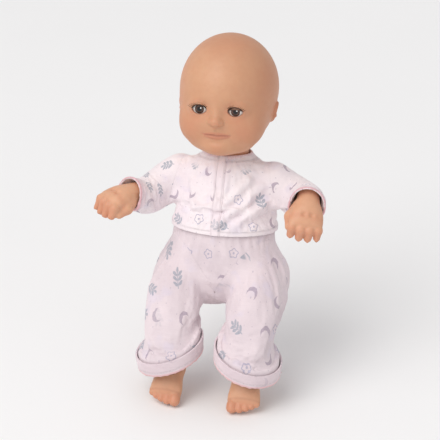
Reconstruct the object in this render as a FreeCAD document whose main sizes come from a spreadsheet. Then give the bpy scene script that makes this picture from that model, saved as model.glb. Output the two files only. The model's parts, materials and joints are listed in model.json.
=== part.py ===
import FreeCAD, Part
import math
import os
import Sketcher

from FreeCAD import Placement, Rotation, Vector

# A 30 cm class vinyl baby doll with a sound unit in its body, dressed in a two-piece pyjama.
# Millimetres, +Z up, the doll faces -Y, +X is the doll's left side.
# The origin is the middle of the flat seat of the trousers, where the doll sits on a chair.
# The trunk, head and electronics are built upright in a trunk frame whose origin is the hip axis,
# and are then leaned back about X by the angle "lean" (trunk_place).

doc = FreeCAD.newDocument("baby_doll")
sheet = doc.addObject("Spreadsheet::Sheet", "dims")
_row = [0]


def cell(name, value):
    _row[0] += 1
    sheet.set("A%d" % _row[0], name)
    sheet.set("B%d" % _row[0], str(value))
    sheet.setAlias("B%d" % _row[0], name)


DIMS = [
    # posture
    ("lean", 11), ("hip_height", 24), ("hip_side", 31), ("slab_half", 11), ("barrel_cut", 25.2), ("thigh_up", 4), ("thigh_down", 90),
    # trunk shells
    ("shell_wall", 2), ("boss_rad", 2.8), ("pilot_rad", 1.0), ("clear_rad", 1.6), ("screw_rad", 0.98),
    ("screw_head_rad", 2.4), ("screw_head_len", 1.6), ("shoulder_side", 36), ("shoulder_up", 72),
    ("shoulder_cut", 17.8), ("shoulder_slant", 15),
    # head
    ("head_up", 133), ("head_fore", 8), ("vinyl_wall", 2.4), ("cran_x", 36.6), ("cran_y", 43), ("cran_z", 40),
    ("cran_dy", 4), ("cran_dz", 4), ("face_x", 31.5), ("face_y", 33), ("face_z", 28), ("face_dy", 7), ("face_dz", 12),
    ("ear_x", 4.2), ("ear_y", 7), ("ear_z", 9.5), ("ear_side", 35.6), ("ear_back", 4), ("ear_low", 14),
    ("neck_rad", 15.5), ("neck_bore", 13.1), ("neck_lip", 9.6), ("neck_foot", 86.4),
    ("eye_side", 13.4), ("eye_fore", 28.1), ("eye_low", 3), ("eye_rad", 8.5), ("eye_gap", 0.35),
    ("axle_rad", 1.0), ("weight_rad", 4.5), ("weight_len", 14), ("weight_arm", 18), ("weight_swing", 20),
    # neck flange
    ("plug_shaft", 9.2), ("plug_cap", 12.4), ("plug_foot", 12.5),
    # battery unit
    ("cell_rad", 5.25), ("cell_len", 44.5), ("cell_side", 5.6), ("bay_half", 11.3), ("bay_low", 24), ("bay_high", 72.9),
    ("bay_floor", 9), ("cover_screw_up", 18), ("cell_back", 14.7), ("bay_wall", 1.5), ("cover_half", 12.2), ("cover_low", 14.2), ("cover_shoulder", 23), ("cover_high", 73.6), ("cover_gap", 0.2),
    # speaker
    ("spk_up", 66), ("spk_rad", 13), ("spk_front", 16), ("spk_magnet", 7), ("spk_depth", 7),
    # tummy button
    ("btn_up", 40), ("btn_rad", 9), ("btn_gap", 0.4), ("btn_travel", 2),
    # circuit board
    ("pcb_x", 34), ("pcb_z", 18), ("pcb_t", 1.6), ("pcb_low", 29.5), ("pcb_fore", 11),
    # power switch
    ("sw_up", 6), ("sw_travel", 3), ("knob_x", 3), ("knob_z", 4),
    # limbs: radii along each limb
    ("arm_root", 11.5), ("arm_mid", 10.6), ("arm_elbow", 10.2), ("arm_fore", 9.4), ("arm_wrist", 7.4),
    ("leg_root", 16.4), ("leg_mid", 16), ("leg_knee", 14.4), ("leg_calf", 13.4), ("leg_ankle", 10.4),
    ("disc_shaft", 6), ("disc_flange", 8.0), ("hip_shaft", 7), ("hip_flange", 9.4),
    # clothes
    ("cloth_gap", 0.4), ("cloth_out", 3.0), ("waist_up", 41), ("sleeve_root", 14.5), ("sleeve_elbow", 13.3),
    ("sleeve_cuff", 15.2), ("trouser_root", 21.2), ("trouser_knee", 20.4), ("trouser_cuff", 22.6), ("cuff_band", 9), ("sleeve_band", 6),
]
for _n, _v in DIMS:
    cell(_n, _v)

# Limb centre lines, in the seated frame: the two middle poles of each smooth curve from the joint
# centre to the wrist or ankle, then the wrist or ankle, then the tip of the hand or foot.
PATH = {
    "armr": [("root", (-55, 13, 84.6)), ("elbow", (-58, -3, 75)), ("wrist", (-64.5, -17, 86.5)), ("tip", (-84, -40, 86.5))],
    "arml": [("root", (54, 14, 84)), ("elbow", (66, 2, 86)), ("wrist", (67.5, -15, 94)), ("tip", (70, -40, 77))],
    "leg": [("root", (31, -30, 20)), ("knee", (30.5, -52, -8)), ("ankle", (29.4, -46.8, -41)), ("toe", (30.6, -73, -58.5))],
}
for _limb, _pts in PATH.items():
    for _p, _xyz in _pts:
        for _ax, _val in zip("xyz", _xyz):
            cell("%s_%s_p%s" % (_limb, _p, _ax), _val)
doc.recompute()


def P(name):
    v = sheet.get(name)
    return float(getattr(v, "Value", v))


def point(limb, name):
    return Vector(*[P("%s_%s_p%s" % (limb, name, a)) for a in "xyz"])


trunk_place = Placement(Vector(0, 0, P("hip_height")), Rotation(Vector(1, 0, 0), -P("lean")))
HEAD = Vector(0, -P("head_fore"), P("head_up"))
NODES = {}


def node(label, obj, place=None):
    """Names a finished sub-part, and leans it with the trunk if asked."""
    obj.Label = label
    if place is not None:
        obj.Placement = place.multiply(obj.Placement)
    NODES[label] = obj
    return obj


def solid(name, shape):
    o = doc.addObject("Part::Feature", name)
    o.Shape = shape
    return o


# ---------------------------------------------------------------- primitives bound to the sheet


def bound(kind, name, sizes, pos=(0, 0, 0), rot=None, offs=()):
    """A Part primitive whose sizes, and optionally position, are expressions on the sheet."""
    o = doc.addObject("Part::" + kind, name)
    o.Placement = Placement(Vector(*pos), rot or Rotation())
    for prop, expr in sizes.items():
        if isinstance(expr, str):
            o.setExpression(prop, expr)
        else:
            setattr(o, prop, expr)
    for axis, expr in offs:
        o.setExpression("Placement.Base." + axis, expr)
    return o


def cut(name, base, tools):
    tool = tools
    if isinstance(tools, (list, tuple)):
        tool = tools[0] if len(tools) == 1 else fuse(name + "_tools", tools)
    o = doc.addObject("Part::Cut", name)
    o.Base, o.Tool = base, tool
    return o


def fuse(name, parts):
    o = doc.addObject("Part::MultiFuse", name)
    o.Shapes = parts
    return o


def common(name, a, b):
    o = doc.addObject("Part::Common", name)
    o.Base, o.Tool = a, b
    return o


def ellipsoid(name, centre, rx, ry, rz):
    return bound("Ellipsoid", name, {"Radius1": rz, "Radius2": rx, "Radius3": ry, "Angle1": -90.0, "Angle2": 90.0, "Angle3": 360.0}, centre)


def y_cyl(name, r, x, z, y0, y1):
    """A cylinder along +Y from y0 to y1."""
    return bound("Cylinder", name, {"Radius": r, "Height": y1 - y0}, (x, y0, z), Rotation(Vector(1, 0, 0), -90))


def box(name, x0, x1, y0, y1, z0, z1):
    return bound("Box", name, {"Length": x1 - x0, "Width": y1 - y0, "Height": z1 - z0}, (x0, y0, z0))


# ---------------------------------------------------------------- trunk form

# Trunk sections in the trunk frame: height, half width, half depth.
TRUNK = [(-22, 15, 12), (-19, 22, 18), (-12, 28, 23.5), (0, 33, 27), (15, 35, 28.5), (30, 35, 29.5), (45, 33.5, 28),
         (60, 31.5, 25), (72, 30, 23), (80, 27, 20.5), (84, 21, 18), (86, 17.5, 16)]


def trunk_form(off, low_ext=0.0, high_ext=0.0):
    """A smooth solid through the trunk sections, grown sideways by off."""
    wires = []
    for i, (z, a, b) in enumerate(TRUNK):
        if i == 0:
            z -= low_ext
        if i == len(TRUNK) - 1:
            z += high_ext
        e = Part.Ellipse(Vector(0, 0, z), a + off, b + off)
        wires.append(Part.Wire([e.toShape()]))
    return Part.makeLoft(wires, True, False)


def hip_barrels(radius, side):
    """Room for the thighs on both sides of the slab between them, in every position of the hips:
    a round about the hip axis, opened forward and down to half height radius."""
    up, down = math.radians(P("thigh_up") - P("lean")), math.radians(-P("thigh_down") - P("lean"))
    out = []
    for s in (1, -1):
        x0 = side if s > 0 else -side - 60

        def ray(angle, reach, lift):
            """A point along a ray in the YZ plane, with lift to the ray's upper or rear side."""
            return Vector(x0, -reach * math.cos(angle) - lift * math.sin(angle), reach * math.sin(angle) - lift * math.cos(angle))

        pts = [ray(up, 0, -radius), ray(up, 70, -radius), ray((up + down) / 2, 110, 0), ray(down, 70, radius), ray(down, 0, radius)]
        face = Part.Face(Part.makePolygon(pts + [pts[0]]))
        wedge = face.extrude(Vector(60, 0, 0))
        out.append(Part.makeCylinder(radius, 60, Vector(x0, 0, 0), Vector(1, 0, 0)).fuse(wedge))
    return out


def shoulder_balls(radius):
    return [Part.makeSphere(radius, Vector(s * P("shoulder_side"), 0, P("shoulder_up"))) for s in (1, -1)]


W = P("shell_wall")
outer = trunk_form(0).cut(hip_barrels(P("barrel_cut"), P("slab_half")) + shoulder_balls(P("shoulder_cut")))
inner = trunk_form(-W, -W, -W).cut(hip_barrels(P("barrel_cut") + W, P("slab_half") - W) + shoulder_balls(P("shoulder_cut") + W))
trunk_outer = solid("trunk_outer", outer)
trunk_inner = solid("trunk_inner", inner)


def slant_axis(side):
    b = math.radians(P("shoulder_slant"))
    return Vector(side * math.cos(b), 0, math.sin(b))


def shoulder_centre(side):
    return Vector(side * P("shoulder_side"), 0, P("shoulder_up"))


holes = []
for s, tag in ((1, "l"), (-1, "r")):
    c, a = shoulder_centre(s), slant_axis(s)
    start = c - a * 30
    holes.append(solid("shoulder_hole_" + tag, Part.makeCylinder(P("disc_shaft") + 0.15, 30, start, a)))
    holes.append(solid("hip_hole_" + tag, Part.makeCylinder(P("hip_shaft") + 0.15, 20, Vector(s * 4, 0, 0), Vector(s, 0, 0))))
holes.append(bound("Cylinder", "neck_hole", {"Radius": "dims.plug_shaft + 0.2", "Height": 8.0}, (0, 0, 80)))

shell_all = cut("trunk_shell_all", trunk_outer, [trunk_inner] + holes)

front_half = box("front_half", -60, 60, -60, 0, -60, 120)
back_half = box("back_half", -60, 60, 0, 60, -60, 120)

# Screw bosses that join the two shells
BOSS = [(22, 36), (-22, 36), (14, 78), (-14, 78)]
fb = [y_cyl("front_boss_%d" % i, P("boss_rad"), x, z, -40, 0) for i, (x, z) in enumerate(BOSS)]
bb = [y_cyl("back_boss_%d" % i, P("boss_rad") + 0.4, x, z, 0, 40) for i, (x, z) in enumerate(BOSS)]

# Front shell: speaker ring, board posts, grille, button hole
spk_ring = cut("speaker_seat", y_cyl("seat_o", P("spk_rad") + 1.8, 0, P("spk_up"), -40, -13),
               [y_cyl("seat_i", P("spk_rad") + 0.3, 0, P("spk_up"), -41, -12)])
POST = [(14, 32.5), (-14, 32.5), (14, 44.6), (-14, 44.6)]
posts = [y_cyl("board_post_%d" % i, 2.3, x, z, -40, -P("pcb_fore")) for i, (x, z) in enumerate(POST)]
front_adds = common("front_adds", fuse("front_adds_raw", fb + [spk_ring] + posts), trunk_outer)
front_raw = fuse("front_raw", [common("front_shell_half", shell_all, front_half), front_adds])
grille = [y_cyl("grille_0", 1.1, 0, P("spk_up"), -40, -17)]
for row, count, rad in ((1, 6, 4.2), (2, 12, 8.4)):
    for k in range(count):
        t = 2 * math.pi * k / count
        grille.append(y_cyl("grille_%d_%d" % (row, k), 1.1, rad * math.cos(t), P("spk_up") + rad * math.sin(t), -40, -17))
front_cuts = [y_cyl("front_pilot_%d" % i, P("pilot_rad"), x, z, -13, 1) for i, (x, z) in enumerate(BOSS)]
front_cuts += [y_cyl("post_pilot_%d" % i, 0.9, x, z, -18, -5) for i, (x, z) in enumerate(POST)]
front_cuts += [y_cyl("button_hole", P("btn_rad") + P("btn_gap"), 0, P("btn_up"), -40, -18)]
front = cut("front_cut", front_raw, front_cuts + grille)
node("torso_front_shell", front, trunk_place)

# Back shell: bosses, battery opening, switch slot
back_adds = common("back_adds", fuse("back_adds_raw", bb), trunk_outer)
back_raw = fuse("back_raw", [common("back_shell_half", shell_all, back_half), back_adds])
cv = P("cover_gap")
cover_tool = fuse("cover_zone", [
    box("cover_zone_hi", -P("cover_half"), P("cover_half"), 10, 40, P("cover_shoulder"), P("cover_high")),
    box("cover_zone_lo", -6.5, 6.5, 10, 40, P("cover_low"), P("cover_shoulder") + 1),
])
open_tool = fuse("cover_open", [
    box("cover_open_hi", -P("cover_half") - cv, P("cover_half") + cv, 10, 40, P("cover_shoulder") - cv, P("cover_high") + cv),
    box("cover_open_lo", -6.5 - cv, 6.5 + cv, 10, 40, P("cover_low") - cv, P("cover_shoulder") + 1),
])
back_cuts = [open_tool, box("switch_slot", -P("knob_x") / 2 - 0.25, P("knob_x") / 2 + 0.25, 20, 40,
                            P("sw_up") - P("knob_z") / 2 - 0.25, P("sw_up") + P("knob_z") / 2 + P("sw_travel") + 0.25)]
back_cuts += [y_cyl("screw_clear_%d" % i, P("clear_rad"), x, z, -1, 40) for i, (x, z) in enumerate(BOSS)]
back_cuts += [y_cyl("screw_sink_%d" % i, P("screw_head_rad") + 0.3, x, z, 9, 40) for i, (x, z) in enumerate(BOSS)]
node("torso_back_shell", cut("back_cut", back_raw, back_cuts), trunk_place)

# Case screws, one group
# the heads rest on the floor of each counterbore, 9 mm behind the joint line
pairs = []
for i in range(4):
    x, z = BOSS[i]
    shank = y_cyl("case_screw_shank_%d" % i, P("screw_rad"), x, z, -12, 9.2)
    cap = cut("case_screw_cap_%d" % i, y_cyl("case_screw_cap_o_%d" % i, P("screw_head_rad"), x, z, 9, 9 + P("screw_head_len")),
              [box("case_screw_slot_%d" % i, x - 1.6, x + 1.6, 9.9, 12, z - 0.35, z + 0.35),
               box("case_screw_slot2_%d" % i, x - 0.35, x + 0.35, 9.9, 12, z - 1.6, z + 1.6)])
    pairs.append(fuse("case_screw_%d" % i, [shank, cap]))
comp = doc.addObject("Part::Compound", "case_screws")
comp.Links = pairs
node("torso_screws", comp, trunk_place)

# ---------------------------------------------------------------- battery unit

bw, bh, bl, bz = P("bay_wall"), P("bay_half"), P("bay_low"), P("bay_high")
bay_raw = fuse("bay_raw", [box("bay_block", -bh - 1.7, bh + 1.7, P("bay_floor") - bw, 40, bl - bw, bz + bw),
                           box("bay_boss", -4, 4, 15, 40, 14.6, bl)])
bay_fit = common("bay_fit", bay_raw, trunk_inner)
bay = cut("bay_cut", bay_fit, [box("bay_room", -bh, bh, P("bay_floor"), 40, bl, bz),
                               y_cyl("bay_pilot", 1.05, 0, P("cover_screw_up"), 16, 40)])
node("battery_box", bay, trunk_place)
cover_fit = common("cover_fit", cut("cover_skin", trunk_outer, [trunk_inner]), cover_tool)
cover = cut("cover_cut", cover_fit, [y_cyl("cover_hole", 1.5, 0, P("cover_screw_up"), 15, 40), y_cyl("cover_sink", 2.3, 0, P("cover_screw_up"), 27.4, 40)])
node("battery_cover", cover, trunk_place)


def turned(label, profile, centre, axis="z", place=None):
    """A PartDesign body turned from a half profile of (radius, height) points."""
    body = doc.addObject("PartDesign::Body", label + "_body")
    sk = body.newObject("Sketcher::SketchObject", label + "_profile")
    plane = [f for f in body.Origin.OriginFeatures if f.Role == "XZ_Plane"][0]
    sk.AttachmentSupport = [(plane, "")]
    sk.MapMode = "FlatFace"
    pts = [Vector(r, z, 0) for r, z in profile]
    for p, q in zip(pts, pts[1:] + pts[:1]):
        sk.addGeometry(Part.LineSegment(p, q), False)
    rev = body.newObject("PartDesign::Revolution", label + "_turn")
    rev.Profile = sk
    rev.ReferenceAxis = (sk, ["V_Axis"])
    rev.Angle = 360.0
    body.Tip = rev
    rot = {"z": Rotation(), "y": Rotation(Vector(1, 0, 0), 90), "-y": Rotation(Vector(1, 0, 0), -90),
           "x": Rotation(Vector(0, 1, 0), 90), "-x": Rotation(Vector(0, 1, 0), -90)}[axis]
    local = Placement(Vector(*centre), rot)
    body.Placement = place.multiply(local) if place is not None else local
    return body


def padded_body(label, shapes, place):
    """A PartDesign body of stacked pads. Each entry: ("circle", radius alias or number) or
    ("rect", x, z) with an offset and a length, drawn on the XZ plane and padded along -Y."""
    body = doc.addObject("PartDesign::Body", label + "_body")
    for i, (form, dims_, y_off, length) in enumerate(shapes):
        sk = body.newObject("Sketcher::SketchObject", "%s_sk%d" % (label, i))
        plane = [f for f in body.Origin.OriginFeatures if f.Role == "XZ_Plane"][0]
        sk.AttachmentSupport = [(plane, "")]
        sk.MapMode = "FlatFace"
        sk.AttachmentOffset = Placement(Vector(0, 0, -y_off), Rotation())
        if form == "circle":
            r = dims_
            rv = P(r) if isinstance(r, str) else r
            sk.addGeometry(Part.Circle(Vector(0, 0, 0), Vector(0, 0, 1), rv), False)
            sk.addConstraint(Sketcher.Constraint("Coincident", 0, 3, -1, 1))
            sk.addConstraint(Sketcher.Constraint("Radius", 0, rv))
            sk.renameConstraint(1, "round_size")
            if isinstance(r, str):
                sk.setExpression("Constraints.round_size", "dims." + r)
        else:
            wx, wz = dims_
            pts = [Vector(-wx / 2, -wz / 2, 0), Vector(wx / 2, -wz / 2, 0), Vector(wx / 2, wz / 2, 0), Vector(-wx / 2, wz / 2, 0)]
            for p, q in zip(pts, pts[1:] + pts[:1]):
                sk.addGeometry(Part.LineSegment(p, q), False)
        pad = body.newObject("PartDesign::Pad", "%s_pad%d" % (label, i))
        pad.Profile = sk
        if isinstance(length, str):
            pad.setExpression("Length", "dims." + length)
        else:
            pad.Length = length
        pad.Reversed = True
        body.Tip = pad
    body.Placement = place
    return body


# The cover's screw: head and shank, turned
node("battery_cover_screw", turned("cover_screw", [(0, 0), (2.0, 0), (2.0, 1.2), (1.0, 1.2), (1.0, 8.0), (0, 8.0)],
                                   (0, 28.6, P("cover_screw_up")), "y", trunk_place))

# Two AAA cells side by side, each with its nub
cells = []
for s, tag in ((1, "l"), (-1, "r")):
    z0 = bl + 3.3
    up = s > 0
    body = bound("Cylinder", "cell_can_" + tag, {"Radius": "dims.cell_rad", "Height": "dims.cell_len - 0.8"},
                 (s * P("cell_side"), P("cell_back"), z0 + (0 if up else 0.8)))
    nub = bound("Cylinder", "cell_nub_" + tag, {"Radius": 1.9, "Height": 0.8}, (s * P("cell_side"), P("cell_back"), z0 + (P("cell_len") - 0.8 if up else 0)))
    cells.append(fuse("cell_" + tag, [body, nub]))
pack = doc.addObject("Part::Compound", "cells")
pack.Links = cells
node("battery_cells", pack, trunk_place)

# Contact plates at the top of the bay, and a coil spring under each cell
plates = []
for s, tag in ((1, "l"), (-1, "r")):
    plates.append(box("contact_" + tag, s * P("cell_side") - 4.4, s * P("cell_side") + 4.4, 11.2, 18.2, bl + 3.3 + P("cell_len") + 0.02, bz))
cp = doc.addObject("Part::Compound", "contacts")
cp.Links = plates
node("battery_contacts", cp, trunk_place)


def coil(x, y, z, radius, wire, turns, height):
    helix = Part.makeHelix(height / turns, height, radius)
    ring = Part.Wire([Part.Circle(Vector(radius, 0, 0), Vector(0, 1, 0), wire).toShape()])
    s = Part.Wire(helix).makePipeShell([ring], True, True)
    s.translate(Vector(x, y, z))
    return s


springs = Part.makeCompound([coil(s * P("cell_side"), P("cell_back"), bl + 0.42, 3.2, 0.35, 3, 2.4) for s in (1, -1)])
node("battery_springs", solid("springs", springs), trunk_place)

# ---------------------------------------------------------------- sound unit

spk = P("spk_rad")
node("speaker_frame", turned("speaker_frame", [
    (spk - 1.6, 0), (spk, 0), (spk, 1.2), (spk - 2.2, 1.2), (P("spk_magnet") + 1.2, P("spk_depth")), (5.2, P("spk_depth")),
    (5.2, P("spk_depth") - 0.8), (P("spk_magnet") + 0.6, P("spk_depth") - 0.8), (spk - 2.8, 0.6), (spk - 1.6, 0.6)],
    (0, -P("spk_front"), P("spk_up")), "-y", trunk_place))
node("speaker_magnet", padded_body("magnet", [("circle", "spk_magnet", 0, 4.5)],
                                   trunk_place.multiply(Placement(Vector(0, -P("spk_front") + P("spk_depth"), P("spk_up")), Rotation()))))
node("speaker_cone", turned("speaker_cone", [
    (0, 3.0), (4.0, 3.4), (spk - 2.9, 0.0), (spk - 2.9, 0.5), (4.2, 4.0), (0, 3.6)],
    (0, -P("spk_front") + 0.05, P("spk_up")), "-y", trunk_place))

# Circuit board with four screw holes, chip, switch
px, pz, plow, pf = P("pcb_x"), P("pcb_z"), P("pcb_low"), P("pcb_fore")
board = bound("Box", "board_blank", {"Length": "dims.pcb_x", "Width": "dims.pcb_t", "Height": "dims.pcb_z"}, (-px / 2, -pf, plow))
board = cut("board_cut", board, [y_cyl("board_hole_%d" % i, 1.2, x, z, -15, -5) for i, (x, z) in enumerate(POST)])
node("circuit_board", board, trunk_place)
node("sound_chip", turned("sound_chip", [(0, 0), (4.4, 0), (4.0, 0.7), (2.6, 1.3), (0, 1.5)], (8.6, -pf, 38.4), "y", trunk_place))
node("tummy_switch", padded_body("tummy_switch", [("rect", (6, 6), -3.4, 3.4), ("circle", 1.7, -4.2, 0.9)],
                                 trunk_place.multiply(Placement(Vector(0, -pf, P("btn_up")), Rotation()))))
bs = []
for i, (x, z) in enumerate(POST):
    bs.append(fuse("board_screw_%d" % i, [y_cyl("board_screw_head_%d" % i, 1.8, x, z, -pf + P("pcb_t"), -pf + P("pcb_t") + 1.2),
                                          y_cyl("board_screw_shank_%d" % i, 0.88, x, z, -16.5, -pf + P("pcb_t") + 0.3)]))
bsc = doc.addObject("Part::Compound", "board_screws_group")
bsc.Links = bs
node("board_screws", bsc, trunk_place)

# Tummy button: a cap that follows the belly, a flange behind the hole and a stem to the switch
btn = P("btn_rad")
cap = common("button_cap", y_cyl("button_rod", btn, 0, P("btn_up"), -40, -23.4), solid("button_skin", trunk_form(-0.05)))
flange = y_cyl("button_flange", btn + 1.6, 0, P("btn_up"), -23.7, -22.4)
stem = y_cyl("button_stem", 3.0, 0, P("btn_up"), -23, -17.5)
node("tummy_button", fuse("button_all", [cap, flange, stem]), trunk_place)

# Power switch: body fixed inside the back, knob in a slot
su = P("sw_up")
node("power_switch_body", cut("switch_body", box("switch_block", -3.5, 3.5, 16.5, 22.6, su - 5, su + 8),
                              [box("switch_room", -P("knob_x") / 2 - 0.2, P("knob_x") / 2 + 0.2, 20, 23, su - 2.25, su + 2.25 + P("sw_travel"))]), trunk_place)
knob = box("knob_block", -P("knob_x") / 2, P("knob_x") / 2, 20.3, 26.6, su - P("knob_z") / 2, su + P("knob_z") / 2)
ribs = [box("knob_groove_%d" % k, -2, 2, 26.1, 27, su - 1.5 + 1.2 * k, su - 1.5 + 1.2 * k + 0.5) for k in range(3)]
node("power_switch_knob", cut("knob_cut", knob, ribs), trunk_place)


def lead(points, r, bend):
    """A wire of straight runs joined by tangent arcs."""
    pts = [Vector(*p) for p in points]
    edges, start = [], pts[0]
    for a, b, c in zip(pts, pts[1:], pts[2:]):
        u, v = (a - b).normalize(), (c - b).normalize()
        half = u.getAngle(v) / 2
        t = bend / math.tan(half)
        p, q = b + u * t, b + v * t
        mid = b + (u + v).normalize() * (bend / math.sin(half) - bend)
        edges += [Part.LineSegment(start, p).toShape(), Part.Arc(p, mid, q).toShape()]
        start = q
    edges.append(Part.LineSegment(start, pts[-1]).toShape())
    path = Part.Wire(edges)
    d = (pts[1] - pts[0]).normalize()
    ring = Part.Wire([Part.Circle(pts[0], d, r).toShape()])
    return path.makePipeShell([ring], True, False)


spk_leads = Part.makeCompound([
    lead([(s * 5.0, -9, 60), (s * 5.0, -2, 60), (s * 7.5, -2, 43), (s * 7.5, -9.4, 43)], 0.6, 2.0) for s in (1, -1)])
node("speaker_leads", solid("spk_leads", spk_leads), trunk_place)
bat_leads = Part.makeCompound([
    lead([(s * 11, 7.5, 36), (s * 11, 1, 36), (s * 3, -4.2, 34), (s * 3, -9.4, 34)], 0.6, 2.0) for s in (1, -1)])
node("battery_leads", solid("bat_leads", bat_leads), trunk_place)

# ---------------------------------------------------------------- head

hx, hy, hz = HEAD.x, HEAD.y, HEAD.z


def head_form(tag, d):
    cran = ellipsoid("cranium_" + tag, (hx, hy + P("cran_dy"), hz + P("cran_dz")), "dims.cran_x - %g" % d, "dims.cran_y - %g" % d, "dims.cran_z - %g" % d)
    face = ellipsoid("jaw_" + tag, (hx, hy - P("face_dy"), hz - P("face_dz")), "dims.face_x - %g" % d, "dims.face_y - %g" % d, "dims.face_z - %g" % d)
    return [cran, face]


vw = P("vinyl_wall")
ears = [ellipsoid("ear_" + t, (s * P("ear_side"), hy + P("ear_back"), hz - P("ear_low")), "dims.ear_x", "dims.ear_y", "dims.ear_z") for s, t in ((1, "l"), (-1, "r"))]
nose = ellipsoid("nose", (0, hy - 39.2, hz - 9.5), 5.0, 5.2, 4.6)
nf = P("neck_foot")
neck = bound("Cylinder", "neck_tube", {"Radius": "dims.neck_rad", "Height": 22.0}, (0, 0, nf))
head_out = fuse("head_out", head_form("o", 0) + ears + [nose, neck])
head_in = fuse("head_in", head_form("i", vw) + [bound("Cylinder", "neck_bore_c", {"Radius": "dims.neck_bore", "Height": 18.0}, (0, 0, 91.6))])
eye_z, eye_y = hz - P("eye_low"), hy - P("eye_fore")
sockets = [bound("Sphere", "socket_" + t, {"Radius": "dims.eye_rad + dims.eye_gap"}, (s * P("eye_side"), eye_y, eye_z)) for s, t in ((1, "l"), (-1, "r"))]
lip = bound("Cylinder", "neck_lip_c", {"Radius": "dims.neck_lip", "Height": 8.0}, (0, 0, nf - 1))
head = cut("head_cut", head_out, [head_in, lip] + sockets)
node("head_shell", head, trunk_place)

# Eyes: two balls on one axle, turned by a weight
ar = P("axle_rad")
for s, t in ((1, "left"), (-1, "right")):
    ball = bound("Sphere", "eyeball_" + t, {"Radius": "dims.eye_rad"}, (s * P("eye_side"), eye_y, eye_z))
    bore = bound("Cylinder", "eye_bore_" + t, {"Radius": "dims.axle_rad", "Height": 5.0},
                 (s * (P("eye_side") - P("eye_rad")) - (0.6 if s > 0 else -0.6), eye_y, eye_z), Rotation(Vector(0, 1, 0), 90 * s))
    node("eye_" + t, cut("eye_cut_" + t, ball, [bore]), trunk_place)
axle = bound("Cylinder", "axle_rod", {"Radius": "dims.axle_rad", "Height": 18.6}, (-9.3, eye_y, eye_z), Rotation(Vector(0, 1, 0), 90))
swing = math.radians(P("weight_swing"))
wy, wz = eye_y + P("weight_arm") * math.sin(swing), eye_z - P("weight_arm") * math.cos(swing)
arm_l = P("weight_arm")
wire = bound("Cylinder", "weight_wire", {"Radius": 1.1, "Height": arm_l}, (0, eye_y, eye_z), Rotation(Vector(1, 0, 0), 180 + P("weight_swing")))
node("eye_axle", cut("axle_cut", fuse("axle_all", [axle, wire]),
                     [bound("Cylinder", "weight_room", {"Radius": P("weight_rad"), "Height": P("weight_len")},
                            (-P("weight_len") / 2, wy, wz), Rotation(Vector(0, 1, 0), 90))]), trunk_place)
node("eye_weight", bound("Cylinder", "weight_slug", {"Radius": "dims.weight_rad", "Height": "dims.weight_len"},
                         (-P("weight_len") / 2, wy, wz), Rotation(Vector(0, 1, 0), 90)), trunk_place)
lugs = [box("lug_%s" % t, s * 3.6 - 0.8, s * 3.6 + 0.8, eye_y - 3, eye_y + 3, eye_z - 3, eye_z + 6.5) for s, t in ((1, "l"), (-1, "r"))]
bridge = box("cradle_bridge", -4.4, 4.4, eye_y - 20, eye_y + 3, eye_z + 4.6, eye_z + 7.4)
cradle = common("cradle_fit", fuse("cradle_raw", lugs + [bridge]), head_in)
node("eye_cradle", cut("cradle_cut", cradle, [bound("Cylinder", "cradle_bore", {"Radius": "dims.axle_rad + 0.05", "Height": 12.0},
                                                   (-6, eye_y, eye_z), Rotation(Vector(0, 1, 0), 90))]), trunk_place)

# Neck flange: foot inside the trunk, shaft through the top, cap inside the head's neck
ps, pc, pft = P("plug_shaft"), P("plug_cap"), P("plug_foot")
node("neck_flange", turned("neck_flange", [(0, 81.4), (pft, 81.4), (pft, 83.9), (ps, 83.9), (ps, 91.9), (pc, 91.9), (pc, 93.6), (pc - 2.4, 95.4), (0, 96.0)],
                           (0, 0, 0), "z", trunk_place))

# ---------------------------------------------------------------- limbs


def frames(poles, n):
    """n evenly spaced places along a smooth curve with these poles: (centre, tangent, side, up, share)."""
    c = Part.BezierCurve()
    c.setPoles(poles)
    out, side = [], None
    for i, p in enumerate(c.discretize(Number=n)):
        d = Vector(*c.tangent(c.parameter(p))[0])
        if side is None:
            ref = Vector(1, 0, 0) if abs(d.x) < 0.8 else Vector(0, 0, 1)
            side = ref - d * ref.dot(d)
        else:
            side = side - d * side.dot(d)
        side = Vector(side).normalize()
        out.append((p, d, side, d.cross(side), i / (n - 1)))
    return out


def blend_of(knots, u):
    for (a, x), (b, y) in zip(knots, knots[1:]):
        if a <= u <= b:
            k = (u - a) / (b - a)
            k = k * k * (3 - 2 * k)
            return x + (y - x) * k
    return knots[-1][1]


def ring(p, e1, e2, ra, rb):
    pts = [p + e1 * (ra * math.cos(2 * math.pi * k / 12)) + e2 * (rb * math.sin(2 * math.pi * k / 12)) for k in range(12)]
    c = Part.BSplineCurve()
    c.interpolate(Points=pts, PeriodicFlag=True)
    return Part.Wire([c.toShape()])


DOME = [(0.985, 0.1726), (0.9, 0.4359), (0.72, 0.694), (0.42, 0.9075)]


def limb(points, knots, n=9, off=0.0, ext=0.0, dome=True):
    """A tube of round rings along a smooth curve, with a ball-shaped root, and optionally run on
    straight past its end."""
    wires, last = [], None
    for p, d, e1, e2, u in frames(points, n):
        r = blend_of(knots, u) + off
        if u == 0 and dome:
            wires += [ring(p - d * (r * t), e1, e2, r * k, r * k) for t, k in DOME]
        wires.append(ring(p, e1, e2, r, r))
        last = (p, d, e1, e2, r)
    if ext:
        p, d, e1, e2, r = last
        wires.append(ring(p + d * (ext / 2), e1, e2, r, r))
        wires.append(ring(p + d * ext, e1, e2, r, r))
    return Part.makeLoft(wires, True, False)


def pod(origin, d, side, nrm, sections):
    """A rounded form along d. Each section: distance, half width, half height, lift along nrm."""
    return Part.makeLoft([ring(origin + d * t + nrm * lift, side, nrm, a, b) for t, a, b, lift in sections], True, False)


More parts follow.
